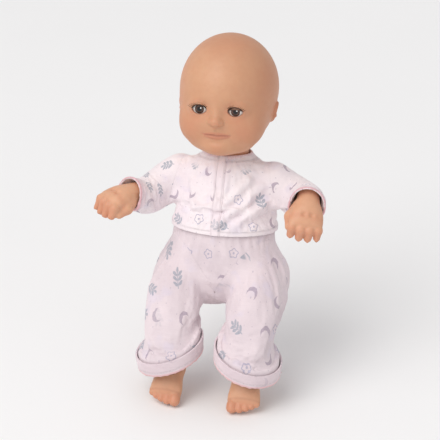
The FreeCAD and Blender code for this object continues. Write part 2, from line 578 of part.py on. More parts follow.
def capsule(p, q, r, r2=None):
    """A rounded finger or toe joint from p to q."""
    r2 = r if r2 is None else r2
    d = (q - p).normalize()
    ref = Vector(0, 0, 1) if abs(d.z) < 0.8 else Vector(1, 0, 0)
    e1 = (ref - d * d.dot(ref)).normalize()
    e2 = d.cross(e1)
    wires = [ring(p - d * (r * t), e1, e2, r * k, r * k) for t, k in DOME[1:]]
    wires += [ring(p, e1, e2, r, r), ring(q, e1, e2, r2, r2)]
    wires += [ring(q + d * (r2 * t), e1, e2, r2 * k, r2 * k) for t, k in reversed(DOME)]
    return Part.makeLoft(wires, True, False)


def hand(wrist, tip, up, thumb_side):
    """Palm, four curled fingers and a thumb, all one vinyl piece with the arm."""
    d = (tip - wrist).normalize()
    side = d.cross(up).normalize()
    nrm = side.cross(d)
    palm = pod(wrist, d, side, nrm, [(-4, 6.6, 6.4, 0), (0, 7.4, 7.0, 0), (5, 9.6, 7.2, 0), (11, 11.6, 7.0, 0),
                                     (16, 11.8, 6.2, 0), (20, 10.6, 5.0, -0.4), (22.4, 8.6, 3.4, -0.8)])
    rolls = []
    for k, (reach, r) in enumerate(((6.4, 2.9), (7.6, 3.1), (7.2, 3.1), (5.6, 2.8))):
        off = (k - 1.5) * 5.4 * (1 if thumb_side < 0 else -1)
        base = wrist + d * 18.4 + side * off - nrm * 0.6
        knuckle = base + d * reach - nrm * 1.6
        end = knuckle + d * 1.4 - nrm * 5.6
        rolls.append(capsule(base, knuckle, r))
        rolls.append(capsule(knuckle, end, r, r - 0.5))
    root = wrist + d * 5 + side * (8.2 * thumb_side) - nrm * 1.5
    bend = root + d * 6.5 + side * (4.2 * thumb_side) - nrm * 1.8
    rolls += [capsule(root, bend, 3.5, 3.2), capsule(bend, bend + d * 5.4 - side * (0.6 * thumb_side) - nrm * 2.0, 3.2, 2.7)]
    return palm.fuse(rolls)


def foot(ankle, tip, s):
    """Heel, instep and five toes; the big toe is toward the middle of the doll."""
    d = (tip - ankle).normalize()
    side = (Vector(1, 0, 0) - d * d.x).normalize()
    nrm = side.cross(d)
    if nrm.z < 0:
        nrm = nrm * -1
    sole = pod(ankle, d, side, nrm, [(-9.6, 4.0, 4.4, -3.6), (-8, 7.4, 7.0, -3.2), (-3, 10.0, 9.6, -2.2), (4, 10.6, 9.8, -1.4),
                                     (11, 11.4, 8.8, -1.8), (18, 12.6, 7.4, -2.8), (23.5, 12.6, 6.0, -3.6), (26.5, 10.8, 4.2, -4.2)])
    toes = []
    for k, (off, r, reach) in enumerate(((-8.4, 4.3, 27.5), (-2.6, 3.3, 28.0), (2.2, 3.1, 27.0), (6.6, 2.9, 25.6), (10.2, 2.7, 23.6))):
        q = ankle + d * reach + side * (off * s) - nrm * 3.6
        toes.append(capsule(q - d * 6 - side * (off * s * 0.06), q, r * 0.94, r))
    return sole.fuse(toes)


ARM_K = [(0, P("arm_root")), (0.25, P("arm_mid")), (0.5, P("arm_elbow")), (0.75, P("arm_fore")), (1, P("arm_wrist"))]
SLEEVE_K = [(0, P("sleeve_root")), (0.5, P("sleeve_elbow")), (1, P("sleeve_cuff"))]
SLEEVE_END = 4.0
for s, side_name, limb_name, up in ((1, "left", "arml", Vector(0.25, -0.45, 0.86)), (-1, "right", "armr", Vector(-0.15, -0.25, 0.95))):
    S = trunk_place.multVec(shoulder_centre(s))
    ax = trunk_place.Rotation.multVec(slant_axis(s))
    Q, E, Wp, T = point(limb_name, "root"), point(limb_name, "elbow"), point(limb_name, "wrist"), point(limb_name, "tip")
    vinyl = limb([S, Q, E, Wp], ARM_K).fuse(hand(Wp, T, up, 1 if s > 0 else -1))
    void = limb([S, Q, E, Wp], ARM_K, off=-vw)
    bore = Part.makeCylinder(P("disc_shaft"), 16, S - ax * 16, ax)
    vinyl = vinyl.cut([void, bore])
    node("arm_" + side_name, solid("arm_shape_" + side_name, vinyl))
    # joint disc: flange inside the trunk, shaft through its wall and into the arm's root
    back = P("shoulder_cut") + W
    disc = Part.makeCylinder(P("disc_shaft"), back - 4.6, S - ax * back, ax)
    disc = disc.fuse(Part.makeCylinder(P("disc_flange"), 2.0, S - ax * (back + 2.4), ax))
    disc = disc.fuse(Part.makeCylinder(P("disc_shaft"), 1.0, S - ax * (back + 0.6), ax))
    disc = disc.fuse(Part.makeCylinder(7.1, 1.6, S - ax * 5.0, ax))
    node("arm_joint_disc_" + side_name, solid("arm_disc_" + side_name, disc))
    # sleeve, open at the wrist, with its hem band
    hem = Wp + (E - Wp).normalize() * SLEEVE_END
    cloth = limb([S, Q, E, hem], SLEEVE_K)
    room = limb([S, Q, E, hem], SLEEVE_K, off=-1.9, ext=8)
    room = room.fuse(Part.makeCylinder(P("disc_flange") + 1.2, 18, S - ax * 18, ax))
    node("sleeve_" + side_name, solid("sleeve_shape_" + side_name, cloth.cut(room)))
    p, d = frames([S, Q, E, hem], 9)[-1][:2]
    zone = Part.makeCylinder(19, P("sleeve_band"), p - d * P("sleeve_band"), d)
    band = limb([S, Q, E, hem], SLEEVE_K, off=1.1).common(zone).cut(cloth)
    node("sleeve_cuff_" + side_name, solid("sleeve_cuff_shape_" + side_name, band))

LEG_K = [(0, P("leg_root")), (0.28, P("leg_mid")), (0.52, P("leg_knee")), (0.75, P("leg_calf")), (1, P("leg_ankle"))]
TROUSER_K = [(0, P("trouser_root")), (0.5, P("trouser_knee")), (1, P("trouser_cuff"))]
for s, side_name in ((1, "left"), (-1, "right")):
    Hc = Vector(s * P("hip_side"), 0, P("hip_height"))
    Q, K, A, T = [Vector(v.x * s, v.y, v.z) for v in (point("leg", "root"), point("leg", "knee"), point("leg", "ankle"), point("leg", "toe"))]
    ax = Vector(s, 0, 0)
    near = P("slab_half") + 3.2
    # the thigh stops at a flat face beside the crotch, round the hip axis
    side_block = Part.makeCylinder(32, 60, Hc * 1.0 - ax * (Hc.x * s + 60 - near), ax)
    vinyl = limb([Hc, Q, K, A], LEG_K).fuse(foot(A, T, s)).cut(side_block)
    void_block = Part.makeCylinder(34, 60, Hc * 1.0 - ax * (Hc.x * s + 60 - near - vw), ax)
    void = limb([Hc, Q, K, A], LEG_K, off=-vw).cut(void_block)
    bore = Part.makeCylinder(P("hip_shaft"), 16, Vector(s * 10, 0, P("hip_height")), ax)
    node("leg_" + side_name, solid("leg_shape_" + side_name, vinyl.cut([void, bore])))
    disc = Part.makeCylinder(P("hip_shaft"), 15.2, Vector(s * 6.4, 0, P("hip_height")), ax)
    disc = disc.fuse(Part.makeCylinder(P("hip_flange"), 2.0, Vector(s * 6.6, 0, P("hip_height")), ax))
    disc = disc.fuse(Part.makeCylinder(P("hip_flange") - 0.6, 1.6, Vector(s * 21.0, 0, P("hip_height")), ax))
    node("leg_joint_disc_" + side_name, solid("leg_disc_" + side_name, disc))
    # trouser leg, open at the ankle, with its turned-up cuff
    hem = A + (K - A).normalize() * 9
    cloth_full = limb([Hc, Q, K, hem], TROUSER_K)
    room = limb([Hc, Q, K, hem], TROUSER_K, off=-2.0, ext=6)
    node("trouser_leg_" + side_name, solid("trouser_leg_shape_" + side_name, cloth_full.cut([room, side_block])))
    p, d = frames([Hc, Q, K, hem], 9)[-1][:2]
    zone = Part.makeCylinder(28, P("cuff_band"), p - d * P("cuff_band"), d)
    band = limb([Hc, Q, K, hem], TROUSER_K, off=1.4).common(zone).cut([cloth_full, side_block])
    node("trouser_cuff_" + side_name, solid("trouser_cuff_shape_" + side_name, band))

# ---------------------------------------------------------------- clothes on the trunk

g, co = P("cloth_gap"), P("cloth_out")
wu = P("waist_up")
big = Part.makeBox(160, 160, 160, Vector(-80, -80, wu + 0.15))
shirt_skin = trunk_form(co, 0, 2.0)
shirt_o = shirt_skin.cut(hip_barrels(P("barrel_cut") - 2.8, 13.7) + shoulder_balls(P("shoulder_cut") - 1.7))
shirt_i = trunk_form(g, 0, 4.0).cut(hip_barrels(P("barrel_cut") - 0.3, 11.3) + shoulder_balls(P("shoulder_cut") - 0.3))
rods = [Part.makeCylinder(P("disc_flange") + 1.2, 30, shoulder_centre(s) - slant_axis(s) * 30, slant_axis(s)) for s in (1, -1)]
shirt = shirt_o.cut([shirt_i] + rods).common(big)
node("shirt_body", solid("shirt_shape", shirt), trunk_place)

fast = trunk_form(co + 1.2).cut(shirt_skin).common(Part.makeBox(12, 60, 36, Vector(-6, 0, 44)))
node("back_fastener", solid("fastener_shape", fast), trunk_place)
plk = trunk_form(co + 0.8).cut(shirt_skin).common(Part.makeBox(7, 60, 37, Vector(-3.5, -60, 43)))
node("front_placket", solid("placket_shape", plk), trunk_place)
collar = Part.makeTorus(18.9, 1.7, Vector(0, 0, 88.6)).cut(shirt_skin)
node("collar_band", solid("collar_shape", collar), trunk_place)

low = Part.makeBox(160, 160, 160, Vector(-80, -80, wu - 160))
seat_o = trunk_form(2.4, 8.0, 0).cut(hip_barrels(P("barrel_cut") - 2.8, 13.7)).common(low)
seat_i = trunk_form(g, 0.4, 0).cut(hip_barrels(P("barrel_cut") - 0.3, 11.3))
pins = [Part.makeCylinder(P("hip_shaft") + 1.0, 10, Vector(s * 9, 0, 0), Vector(s, 0, 0)) for s in (1, -1)]
seat = seat_o.cut([seat_i] + pins)
seat.Placement = trunk_place
seat = seat.cut(Part.makeBox(200, 200, 60, Vector(-100, -100, -60)))
node("trouser_seat", solid("seat_shape", seat))
belt = trunk_form(2.4 + 0.55, 0, 0).cut(trunk_form(2.42)).common(Part.makeBox(160, 160, 8, Vector(-80, -80, wu - 8.2)))
node("waistband", solid("belt_shape", belt), trunk_place)

# ---------------------------------------------------------------- checks and export

doc.recompute()
bad = [o.Name for o in doc.Objects if any(s in ("Invalid", "Error") for s in o.State)]
if bad:
    raise RuntimeError("failed objects: %s" % bad)
os.makedirs("parts", exist_ok=True)
for old in os.listdir("parts"):
    os.remove(os.path.join("parts", old))
problems = []
for label, obj in NODES.items():
    sh = obj.Shape
    if sh.isNull() or not sh.isValid() or not sh.Solids or min(x.Volume for x in sh.Solids) <= 0:
        problems.append(label)
        continue
    if len(sh.Solids) == 1:
        sh = sh.Solids[0]
    sh.exportStep("parts/%s.step" % label)
    bb_ = sh.optimalBoundingBox(True, False)
    print("%-26s solids %2d vol %9.1f  x %6.1f %6.1f  y %6.1f %6.1f  z %6.1f %6.1f" % (
        label, len(obj.Shape.Solids), sh.Volume, bb_.XMin, bb_.XMax, bb_.YMin, bb_.YMax, bb_.ZMin, bb_.ZMax))
if problems:
    raise RuntimeError("bad shapes: %s" % problems)
print(len(NODES), "nodes")
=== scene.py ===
"""Interactive baby doll: the visible skins, clothes, eyes and materials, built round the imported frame."""
import json
import math

import bmesh
import bpy
import numpy as np
from mathutils import Matrix, Vector


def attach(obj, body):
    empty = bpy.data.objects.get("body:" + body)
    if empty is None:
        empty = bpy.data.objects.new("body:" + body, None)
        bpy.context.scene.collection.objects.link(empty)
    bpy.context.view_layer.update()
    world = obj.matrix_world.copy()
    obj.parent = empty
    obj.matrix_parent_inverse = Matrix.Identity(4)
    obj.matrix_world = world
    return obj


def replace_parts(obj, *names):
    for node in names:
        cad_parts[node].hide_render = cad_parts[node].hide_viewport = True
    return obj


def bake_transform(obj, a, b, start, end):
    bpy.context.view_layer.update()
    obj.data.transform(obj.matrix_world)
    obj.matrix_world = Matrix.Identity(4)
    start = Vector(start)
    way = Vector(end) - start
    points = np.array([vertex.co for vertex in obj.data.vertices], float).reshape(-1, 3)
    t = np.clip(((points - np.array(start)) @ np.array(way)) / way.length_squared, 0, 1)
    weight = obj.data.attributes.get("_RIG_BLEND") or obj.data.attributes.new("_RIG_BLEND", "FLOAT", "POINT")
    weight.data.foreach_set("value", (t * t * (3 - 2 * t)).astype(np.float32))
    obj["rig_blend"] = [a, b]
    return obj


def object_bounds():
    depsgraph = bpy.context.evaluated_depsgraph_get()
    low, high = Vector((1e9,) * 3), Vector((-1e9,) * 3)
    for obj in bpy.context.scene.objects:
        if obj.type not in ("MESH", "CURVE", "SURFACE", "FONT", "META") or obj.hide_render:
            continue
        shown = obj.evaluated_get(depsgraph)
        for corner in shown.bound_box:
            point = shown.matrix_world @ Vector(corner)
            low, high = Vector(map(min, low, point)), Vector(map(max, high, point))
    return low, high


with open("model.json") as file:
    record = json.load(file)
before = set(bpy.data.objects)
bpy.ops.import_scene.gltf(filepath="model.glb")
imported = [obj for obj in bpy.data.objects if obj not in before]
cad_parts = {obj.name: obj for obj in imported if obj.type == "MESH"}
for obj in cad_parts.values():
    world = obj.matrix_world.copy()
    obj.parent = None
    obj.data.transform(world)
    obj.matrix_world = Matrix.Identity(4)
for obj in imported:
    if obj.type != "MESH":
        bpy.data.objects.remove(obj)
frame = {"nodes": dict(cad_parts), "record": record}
cad_lo, cad_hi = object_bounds()
NODES = frame["nodes"]

# ------------------------------------------------------------------ frames and distance forms (mm)

LEAN = math.radians(11.0)
CL, SL = math.cos(LEAN), math.sin(LEAN)


def A(*v):
    return np.array(v, float)


def to_row(p):
    p = np.asarray(p, float)
    return np.stack([p[..., 0], p[..., 1] * CL + p[..., 2] * SL, 24 + p[..., 2] * CL - p[..., 1] * SL], -1)


def to_trunk(p):
    y, z = p[..., 1], p[..., 2] - 24
    return np.stack([p[..., 0], y * CL - z * SL, y * SL + z * CL], -1)


def unit(v):
    return v / np.linalg.norm(v)


def smin(a, b, k):
    h = np.clip(0.5 + 0.5 * (b - a) / k, 0, 1)
    return b + (a - b) * h - k * h * (1 - h)


def smax(a, b, k):
    return -smin(-a, -b, k)


def sph(p, c, r):
    return np.linalg.norm(p - A(*c), axis=-1) - r


def ell(p, c, r, axes=None):
    q = p - A(*c)
    if axes is not None:
        q = np.stack([q @ a for a in axes], -1)
    q = q / A(*r)
    k0 = np.linalg.norm(q, axis=-1)
    k1 = np.linalg.norm(q / A(*r), axis=-1) + 1e-9
    return k0 * (k0 - 1) / k1


def cap(p, a, b, ra, rb=None):
    rb = ra if rb is None else rb
    a, b = A(*a), A(*b)
    d = b - a
    h = np.clip(((p - a) @ d) / (d @ d), 0, 1)
    return np.linalg.norm(p - a - h[..., None] * d, axis=-1) - (ra + (rb - ra) * h)


def chain(p, pts, radii, k=0.8):
    out = None
    for a, b, ra, rb in zip(pts, pts[1:], radii, radii[1:]):
        d = cap(p, a, b, ra, rb)
        out = d if out is None else smin(out, d, k)
    return out


def smoothstep(a, b, x):
    t = np.clip((x - a) / (b - a), 0, 1)
    return t * t * (3 - 2 * t)


def curve_table(knots, lo, hi, n=160):
    """Values through knots, eased twice so that no corner shows."""
    x = np.linspace(lo, hi, n)
    y = [np.interp(x, [k[0] for k in knots], [k[j] for k in knots]) for j in range(1, len(knots[0]))]
    w = max(3, n // 24) | 1
    out = []
    for v in y:
        for _ in range(2):
            pad = np.concatenate([[v[0]] * (w // 2), v, [v[-1]] * (w // 2)])
            v = np.convolve(pad, np.ones(w) / w, "valid")
        out.append(v)
    return x, out


def lofted(p, table, z0, z1, k=2.0):
    """Upright form with elliptical sections from a table of height, half width, half depth, middle."""
    x, cols = table
    z = p[..., 2]
    a, b = np.interp(z, x, cols[0]), np.interp(z, x, cols[1])
    m = np.interp(z, x, cols[2]) if len(cols) > 2 else 0.0
    px, py = p[..., 0], p[..., 1] - m
    k0 = np.sqrt((px / a) ** 2 + (py / b) ** 2)
    k1 = np.sqrt((px / a ** 2) ** 2 + (py / b ** 2) ** 2) + 1e-9
    d = k0 * (k0 - 1) / k1
    return smax(smax(d, z - z1, k), z0 - z, k)


def pod(p, o, d, side, nrm, sections, k=2.0):
    """A rounded form along d: sections of distance, half width, half height, lift."""
    q = p - o
    t, u, w = q @ d, q @ side, q @ nrm
    s = np.array(sections, float)
    tt = np.linspace(s[0, 0], s[-1, 0], 60)
    cols = [np.interp(tt, s[:, 0], s[:, j]) for j in (1, 2, 3)]
    cols = [np.convolve(np.concatenate([[c[0]] * 3, c, [c[-1]] * 3]), np.ones(7) / 7, "valid") for c in cols]
    a, b, l = [np.interp(t, tt, c) for c in cols]
    w = w - l
    k0 = np.sqrt((u / a) ** 2 + (w / b) ** 2)
    k1 = np.sqrt((u / a ** 2) ** 2 + (w / b ** 2) ** 2) + 1e-9
    e = k0 * (k0 - 1) / k1
    return smax(smax(e, t - s[-1, 0], k), s[0, 0] - t, k)


def bezier(poles, n, ext=0.0):
    """n evenly spaced points on a smooth curve, each with its share, run straight on by ext."""
    t = np.linspace(0, 1, 400)[:, None]
    c = [A(*q) for q in poles]
    pts = (1 - t) ** 3 * c[0] + 3 * (1 - t) ** 2 * t * c[1] + 3 * (1 - t) * t ** 2 * c[2] + t ** 3 * c[3]
    s = np.concatenate([[0], np.cumsum(np.linalg.norm(np.diff(pts, axis=0), axis=1))])
    u = np.linspace(0, 1, n)
    out = np.stack([np.interp(u * s[-1], s, pts[:, j]) for j in range(3)], -1)
    if ext:
        out = np.concatenate([out, [out[-1] + unit(out[-1] - out[-2]) * ext]])
        u = np.concatenate([u, [1.0]])
    return out, u, s[-1]


def knot(knots, u):
    u = np.asarray(u, float)
    out = np.full(u.shape, float(knots[-1][1]))
    for (a, x), (b, y) in zip(knots, knots[1:]):
        m = (u >= a) & (u <= b)
        out[m] = x + (y - x) * smoothstep(a, b, u[m])
    return out


def tube(p, pts, radii):
    out = None
    for a, b, ra, rb in zip(pts, pts[1:], radii, radii[1:]):
        d = cap(p, a, b, ra, rb)
        out = d if out is None else smin(out, d, 0.4)
    return out


def only(p, mask, form, far=60.0):
    """A form worked out only where mask holds."""
    out = np.full(len(p), far)
    if mask.any():
        out[mask] = form(p[mask])
    return out


def on_curve(p, pts):
    """Nearest place on a polyline: distance along it, and the nearest point and tangent."""
    seg = np.diff(pts, axis=0)
    ln = np.linalg.norm(seg, axis=1)
    at = np.concatenate([[0], np.cumsum(ln)])
    best = np.full(len(p), 1e18)
    s, c, tg = np.zeros(len(p)), np.zeros((len(p), 3)), np.zeros((len(p), 3))
    for i in range(len(seg)):
        d = seg[i] / ln[i]
        h = np.clip((p - pts[i]) @ d, 0, ln[i])
        q = pts[i] + h[:, None] * d
        r = ((p - q) ** 2).sum(-1)
        m = r < best
        best[m], s[m], c[m], tg[m] = r[m], at[i] + h[m], q[m], d
    return s, c, tg


# ------------------------------------------------------------------ surface extraction


def value(f, p, chunk=400000):
    return np.concatenate([f(p[i:i + chunk]) for i in range(0, len(p), chunk)]) if len(p) else np.zeros(0)


def slope(f, p, e):
    g = np.zeros((len(p), 3))
    for k in ((1, -1, -1), (-1, -1, 1), (-1, 1, -1), (1, 1, 1)):
        g += value(f, p + A(*k) * e)[:, None] * A(*k)
    return g / (4 * e)


def settle(f, v, e, rounds=2, reach=None):
    for _ in range(rounds):
        d = value(f, v)
        g = slope(f, v, e)
        step = g * (d / np.maximum((g ** 2).sum(-1), 0.05))[:, None]
        if reach:
            n = np.linalg.norm(step, axis=-1, keepdims=True)
            step *= np.minimum(1, reach / np.maximum(n, 1e-9))
        v = v - step
    return v


def neighbours_mean(v, faces):
    e = np.concatenate([faces[:, [0, 1]], faces[:, [1, 2]], faces[:, [2, 3]], faces[:, [3, 0]]])
    acc, cnt = np.zeros_like(v), np.zeros(len(v))
    for a, b in ((0, 1), (1, 0)):
        for j in range(3):
            acc[:, j] += np.bincount(e[:, a], v[e[:, b], j], len(v))
        cnt += np.bincount(e[:, a], minlength=len(v))
    return acc / np.maximum(cnt, 1)[:, None]


def normals_of(v, faces):
    a, b = v[faces[:, 2]] - v[faces[:, 0]], v[faces[:, 3]] - v[faces[:, 1]]
    fn = np.cross(a, b)
    out = np.zeros_like(v)
    for c in range(4):
        for j in range(3):
            out[:, j] += np.bincount(faces[:, c], fn[:, j], len(v))
    return out / np.maximum(np.linalg.norm(out, axis=-1, keepdims=True), 1e-9)


def graded(zones, coarse, fine):
    """Grid lines from zones (start, end, is it fine), a multiple of four of them plus one."""
    out = [zones[0][0]]
    for a, b, f in zones:
        n = int(math.ceil((b - a) / (fine if f else coarse) / 4)) * 4
        out += list(a + (b - a) * (np.arange(n) + 1) / n)
    return np.array(out)


def skin(f, lo, hi, h, relax=1, rounds=2, grid=None):
    """A quad mesh of the surface f = 0 in the box lo to hi, at grid step h, or on the given grid lines."""
    if grid is None:
        lo, hi = A(*lo), A(*hi)
        nc = np.ceil((hi - lo) / (4 * h)).astype(int)
        grid = [lo[j] + h * np.arange(4 * nc[j] + 1) for j in range(3)]
    nc = np.array([(len(g) - 1) // 4 for g in grid])
    H = 4 * max(np.diff(g).max() for g in grid)
    ax = [g[::4] for g in grid]
    gc = np.stack(np.meshgrid(*ax, indexing="ij"), -1)
    dc = value(f, gc.reshape(-1, 3)).reshape(gc.shape[:3])
    lowest, signs = None, None
    for i in (0, 1):
        for j in (0, 1):
            for k in (0, 1):
                s = dc[i:nc[0] + i, j:nc[1] + j, k:nc[2] + k]
                lowest = np.abs(s) if lowest is None else np.minimum(lowest, np.abs(s))
                signs = (s > 0).astype(int) if signs is None else signs + (s > 0)
    active = (lowest < H * 1.15) | ((signs > 0) & (signs < 8))
    n = nc * 4 + 1
    fine = np.zeros(n, bool)
    big = active.repeat(4, 0).repeat(4, 1).repeat(4, 2)
    for i in (0, 1):
        for j in (0, 1):
            for k in (0, 1):
                fine[i:n[0] - 1 + i, j:n[1] - 1 + j, k:n[2] - 1 + k] |= big
    D = np.ones(n)
    near = dc[:-1, :-1, :-1].repeat(4, 0).repeat(4, 1).repeat(4, 2)
    D[:-1, :-1, :-1] = near
    idx = np.argwhere(fine)
    D[fine] = value(f, np.stack([grid[j][idx[:, j]] for j in range(3)], -1))
    D[D == 0] = 1e-9
    pos = D > 0
    tot = sum(pos[i:n[0] - 1 + i, j:n[1] - 1 + j, k:n[2] - 1 + k].astype(np.int8) for i in (0, 1) for j in (0, 1) for k in (0, 1))
    cells = np.argwhere((tot > 0) & (tot < 8) & big)
    ids = np.full(n - 1, -1, np.int64)
    ids[tuple(cells.T)] = np.arange(len(cells))
    corner = {(i, j, k): D[cells[:, 0] + i, cells[:, 1] + j, cells[:, 2] + k] for i in (0, 1) for j in (0, 1) for k in (0, 1)}
    acc, cnt = np.zeros((len(cells), 3)), np.zeros(len(cells))
    for a in corner:
        for j in range(3):
            if a[j] == 0:
                b = tuple(1 if m == j else a[m] for m in range(3))
                va, vb = corner[a], corner[b]
                m = (va > 0) != (vb > 0)
                t = va[m] / (va[m] - vb[m])
                pt = np.tile(np.array(a, float), (m.sum(), 1))
                pt[:, j] = t
                acc[m] += pt
                cnt[m] += 1
    acc /= np.maximum(cnt, 1)[:, None]
    v = np.stack([grid[j][cells[:, j]] + acc[:, j] * (grid[j][cells[:, j] + 1] - grid[j][cells[:, j]]) for j in range(3)], -1)
    faces = []
    for j in range(3):
        o1, o2 = (j + 1) % 3, (j + 2) % 3
        a = [slice(None)] * 3
        b = [slice(None)] * 3
        a[j], b[j] = slice(0, n[j] - 1), slice(1, n[j])
        for o in (o1, o2):
            a[o] = b[o] = slice(1, n[o] - 1)
        A0, B0 = pos[tuple(a)], pos[tuple(b)]
        e = np.argwhere(A0 != B0)
        flip = A0[tuple(e.T)]
        base = e.copy()
        base[:, o1] += 1
        base[:, o2] += 1
        q = []
        for d1, d2 in ((-1, -1), (0, -1), (0, 0), (-1, 0)):
            c = base.copy()
            c[:, o1] += d1
            c[:, o2] += d2
            q.append(ids[tuple(c.T)])
        q = np.stack(q, -1)
        ok = (q >= 0).all(-1)
        q, flip = q[ok], flip[ok]
        q[flip] = q[flip][:, ::-1]
        faces.append(q)
    faces = np.concatenate(faces)
    v = settle(f, v, h * 0.3, rounds, h)
    for _ in range(relax):
        m = neighbours_mean(v, faces)
        g = normals_of(v, faces)
        d = m - v
        d -= g * (d * g).sum(-1, keepdims=True)
        v = settle(f, v + 0.6 * d, h * 0.3, 1, h)
    return v, faces


def make(name, v, faces, smooth=True, collection=None):
    """An object from millimetre points."""
    me = bpy.data.meshes.new(name)
    me.from_pydata((np.asarray(v) * 0.001).tolist(), [], faces.tolist() if hasattr(faces, "tolist") else faces)
    me.update()
    if smooth:
        me.polygons.foreach_set("use_smooth", [True] * len(me.polygons))
    ob = bpy.data.objects.new(name, me)
    bpy.context.scene.collection.objects.link(ob)
    return ob


def points_of(ob):
    co = np.zeros(len(ob.data.vertices) * 3)
    ob.data.vertices.foreach_get("co", co)
    return co.reshape(-1, 3) * 1000


def tint(ob, name, values):
    at = ob.data.attributes.new(name, "FLOAT", "POINT")
    at.data.foreach_set("value", np.asarray(values, np.float32))


# ------------------------------------------------------------------ limbs

TRUNK = curve_table([(-22, 15, 12), (-19, 22, 18), (-12, 28, 23.5), (0, 33, 27), (15, 35, 28.5), (30, 35, 29.5), (45, 33.5, 28),
                     (60, 31.5, 25), (72, 30, 23), (80, 27, 20.5), (84, 21, 18), (86, 17.5, 16)], -22, 86)
S_ = {1: to_row(A(36, 0, 72)), -1: to_row(A(-36, 0, 72))}
ARM = {1: [S_[1], (54, 14, 84), (66, 2, 86), (67.5, -15, 94)], -1: [S_[-1], (-55, 13, 84.6), (-58, -3, 75), (-64.5, -17, 86.5)]}
TIP = {1: A(70, -40, 77), -1: A(-84, -40, 86.5)}
UP = {1: A(0.25, -0.45, 0.86), -1: A(-0.15, -0.25, 0.95)}
LEG = {s: [A(31 * s, 0, 24), A(31 * s, -30, 20), A(30.5 * s, -52, -8), A(29.4 * s, -46.8, -41)] for s in (1, -1)}
TOE = {s: A(30.6 * s, -73, -58.5) for s in (1, -1)}
ARM_K = [(0, 11.5), (0.25, 10.6), (0.5, 10.2), (0.75, 9.4), (1, 7.4)]
LEG_K = [(0, 16.4), (0.28, 16), (0.52, 14.4), (0.75, 13.4), (1, 10.4)]


def hand_axes(s):
    w = A(*ARM[s][3])
    d = unit(TIP[s] - w)
    side = unit(np.cross(d, UP[s]))
    return w, d, side, np.cross(side, d)


HAND = 1.12


def hand_form(p, s):
    w, d, side, nrm = hand_axes(s)
    p = w + (p - w) / HAND
    th = 1 if s > 0 else -1
    out = pod(p, w, d, side, nrm, [(-6, 7.0, 6.6, 0), (0, 7.3, 6.8, 0), (4, 8.6, 7.2, 0.2), (10, 10.6, 7.2, 0.3), (15, 11.2, 6.4, 0.2), (19, 10.6, 5.2, -0.2),
                                   (22, 9.0, 4.0, -0.8)], 2.5)
    # chubby fold at the wrist
    ring = w - d * 1.6
    q = p - ring
    t = q @ d
    rad = np.linalg.norm(q - t[:, None] * d, axis=-1)
    out = smax(out, -(np.sqrt((rad - 8.4) ** 2 + t ** 2) - 0.9), 1.4)
    for k, (reach, r, curl) in enumerate(((6.8, 3.0, 4.6), (8.2, 3.15, 5.2), (7.8, 3.1, 5.4), (6.2, 2.8, 5.0))):
        reach, curl = reach * (0.7 if s > 0 else 0.6), curl * (1.0 if s > 0 else 1.12)
        off = (k - 1.5) * 5.5 * (1 if th < 0 else -1)
        base = w + d * 17.2 + side * off * 0.94 - nrm * 0.2
        kn = base + d * reach + side * off * 0.10 - nrm * 1.4
        end = kn + d * 2.6 + side * off * 0.02 - nrm * curl
        f = chain(p, [base - d * 5, base, kn, end], [r * 0.9, r, r * 0.99, r * 0.84], 1.6)
        g = unit(end - kn)
        top = unit(np.cross(side, g))
        nail = ell(p, end + g * 0.5 + top * (r * 0.66), (1.7, 1.35, 0.55), (g, side, top))
        f = smin(f, nail, 0.25)
        out = smin(out, f, 1.1 if k else 1.1)
        # dimple over each knuckle
        out = smax(out, -sph(p, base - d * 1.8 + nrm * 6.6, 1.3), 1.9)
    root = w + d * 5.2 + side * (5.9 * th) - nrm * 1.8
    bend = root + d * 7.4 + side * (4.5 * th) - nrm * 2.2
    end = bend + d * 6.2 - side * (0.4 * th) - nrm * 2.6
    thumb = chain(p, [root, bend, end], [3.9, 3.4, 2.75], 2.0)
    g = unit(end - bend)
    out = smin(out, thumb, 1.8)
    top = unit(np.cross(side, g))
    out = smin(out, ell(p, end + g * 0.6 + top * 1.9, (1.8, 1.4, 0.55), (g, side, top)), 0.25)
    return out * HAND


ARM_PTS = {s: bezier(ARM[s], 30) for s in (1, -1)}
LEG_PTS = {s: bezier(LEG[s], 34) for s in (1, -1)}


def arm_form(p, s):
    pts, u, _ = ARM_PTS[s]
    return smin(tube(p, pts, knot(ARM_K, u)), hand_form(p, s), 2.4)


def foot_axes(s):
    a = LEG[s][3]
    d = unit(TOE[s] - a)
    side = unit(A(1, 0, 0) - d * d[0])
    nrm = np.cross(side, d)
    if nrm[2] < 0:
        nrm = -nrm
    return a, d, side, nrm


def foot_form(p, s):
    a, d, side, nrm = foot_axes(s)
    out = pod(p, a, d, side, nrm, [(-9.4, 4.0, 4.4, -3.4), (-8, 7.2, 7.0, -3.2), (-3, 9.8, 9.6, -2.2), (4, 10.2, 9.8, -1.2), (11, 11.2, 8.8, -1.6),
                                   (18, 12.4, 7.2, -2.6), (22.5, 12.2, 5.6, -3.4), (25, 10.6, 4.2, -4.0)], 2.6)
    # instep under the arch, on the inner side
    out = smax(out, -sph(p, a + d * 9 - side * (9.5 * s) - nrm * 14.5, 7.0), 4.0)
    for k, (off, r, reach) in enumerate(((-8.2, 4.2, 27.0), (-2.5, 3.15, 27.4), (2.2, 2.95, 26.2), (6.4, 2.75, 24.6), (10.0, 2.55, 22.6))):
        q = a + d * reach + side * (off * s) - nrm * 3.4
        back = q - d * 7 - side * (off * s * 0.05) + nrm * 0.6
        f = chain(p, [back, q - d * 2 + nrm * 0.5, q], [r * 0.85, r * 0.93, r], 1.0)
        nail = ell(p, q + d * (r * 0.45) + nrm * (r * 0.72), (r * 0.52, r * 0.5, 0.5), (unit(d - nrm * 0.5), side, unit(nrm + d * 0.5)))
        f = smin(f, nail, 0.25)
        out = smin(out, f, 0.6)
    return out


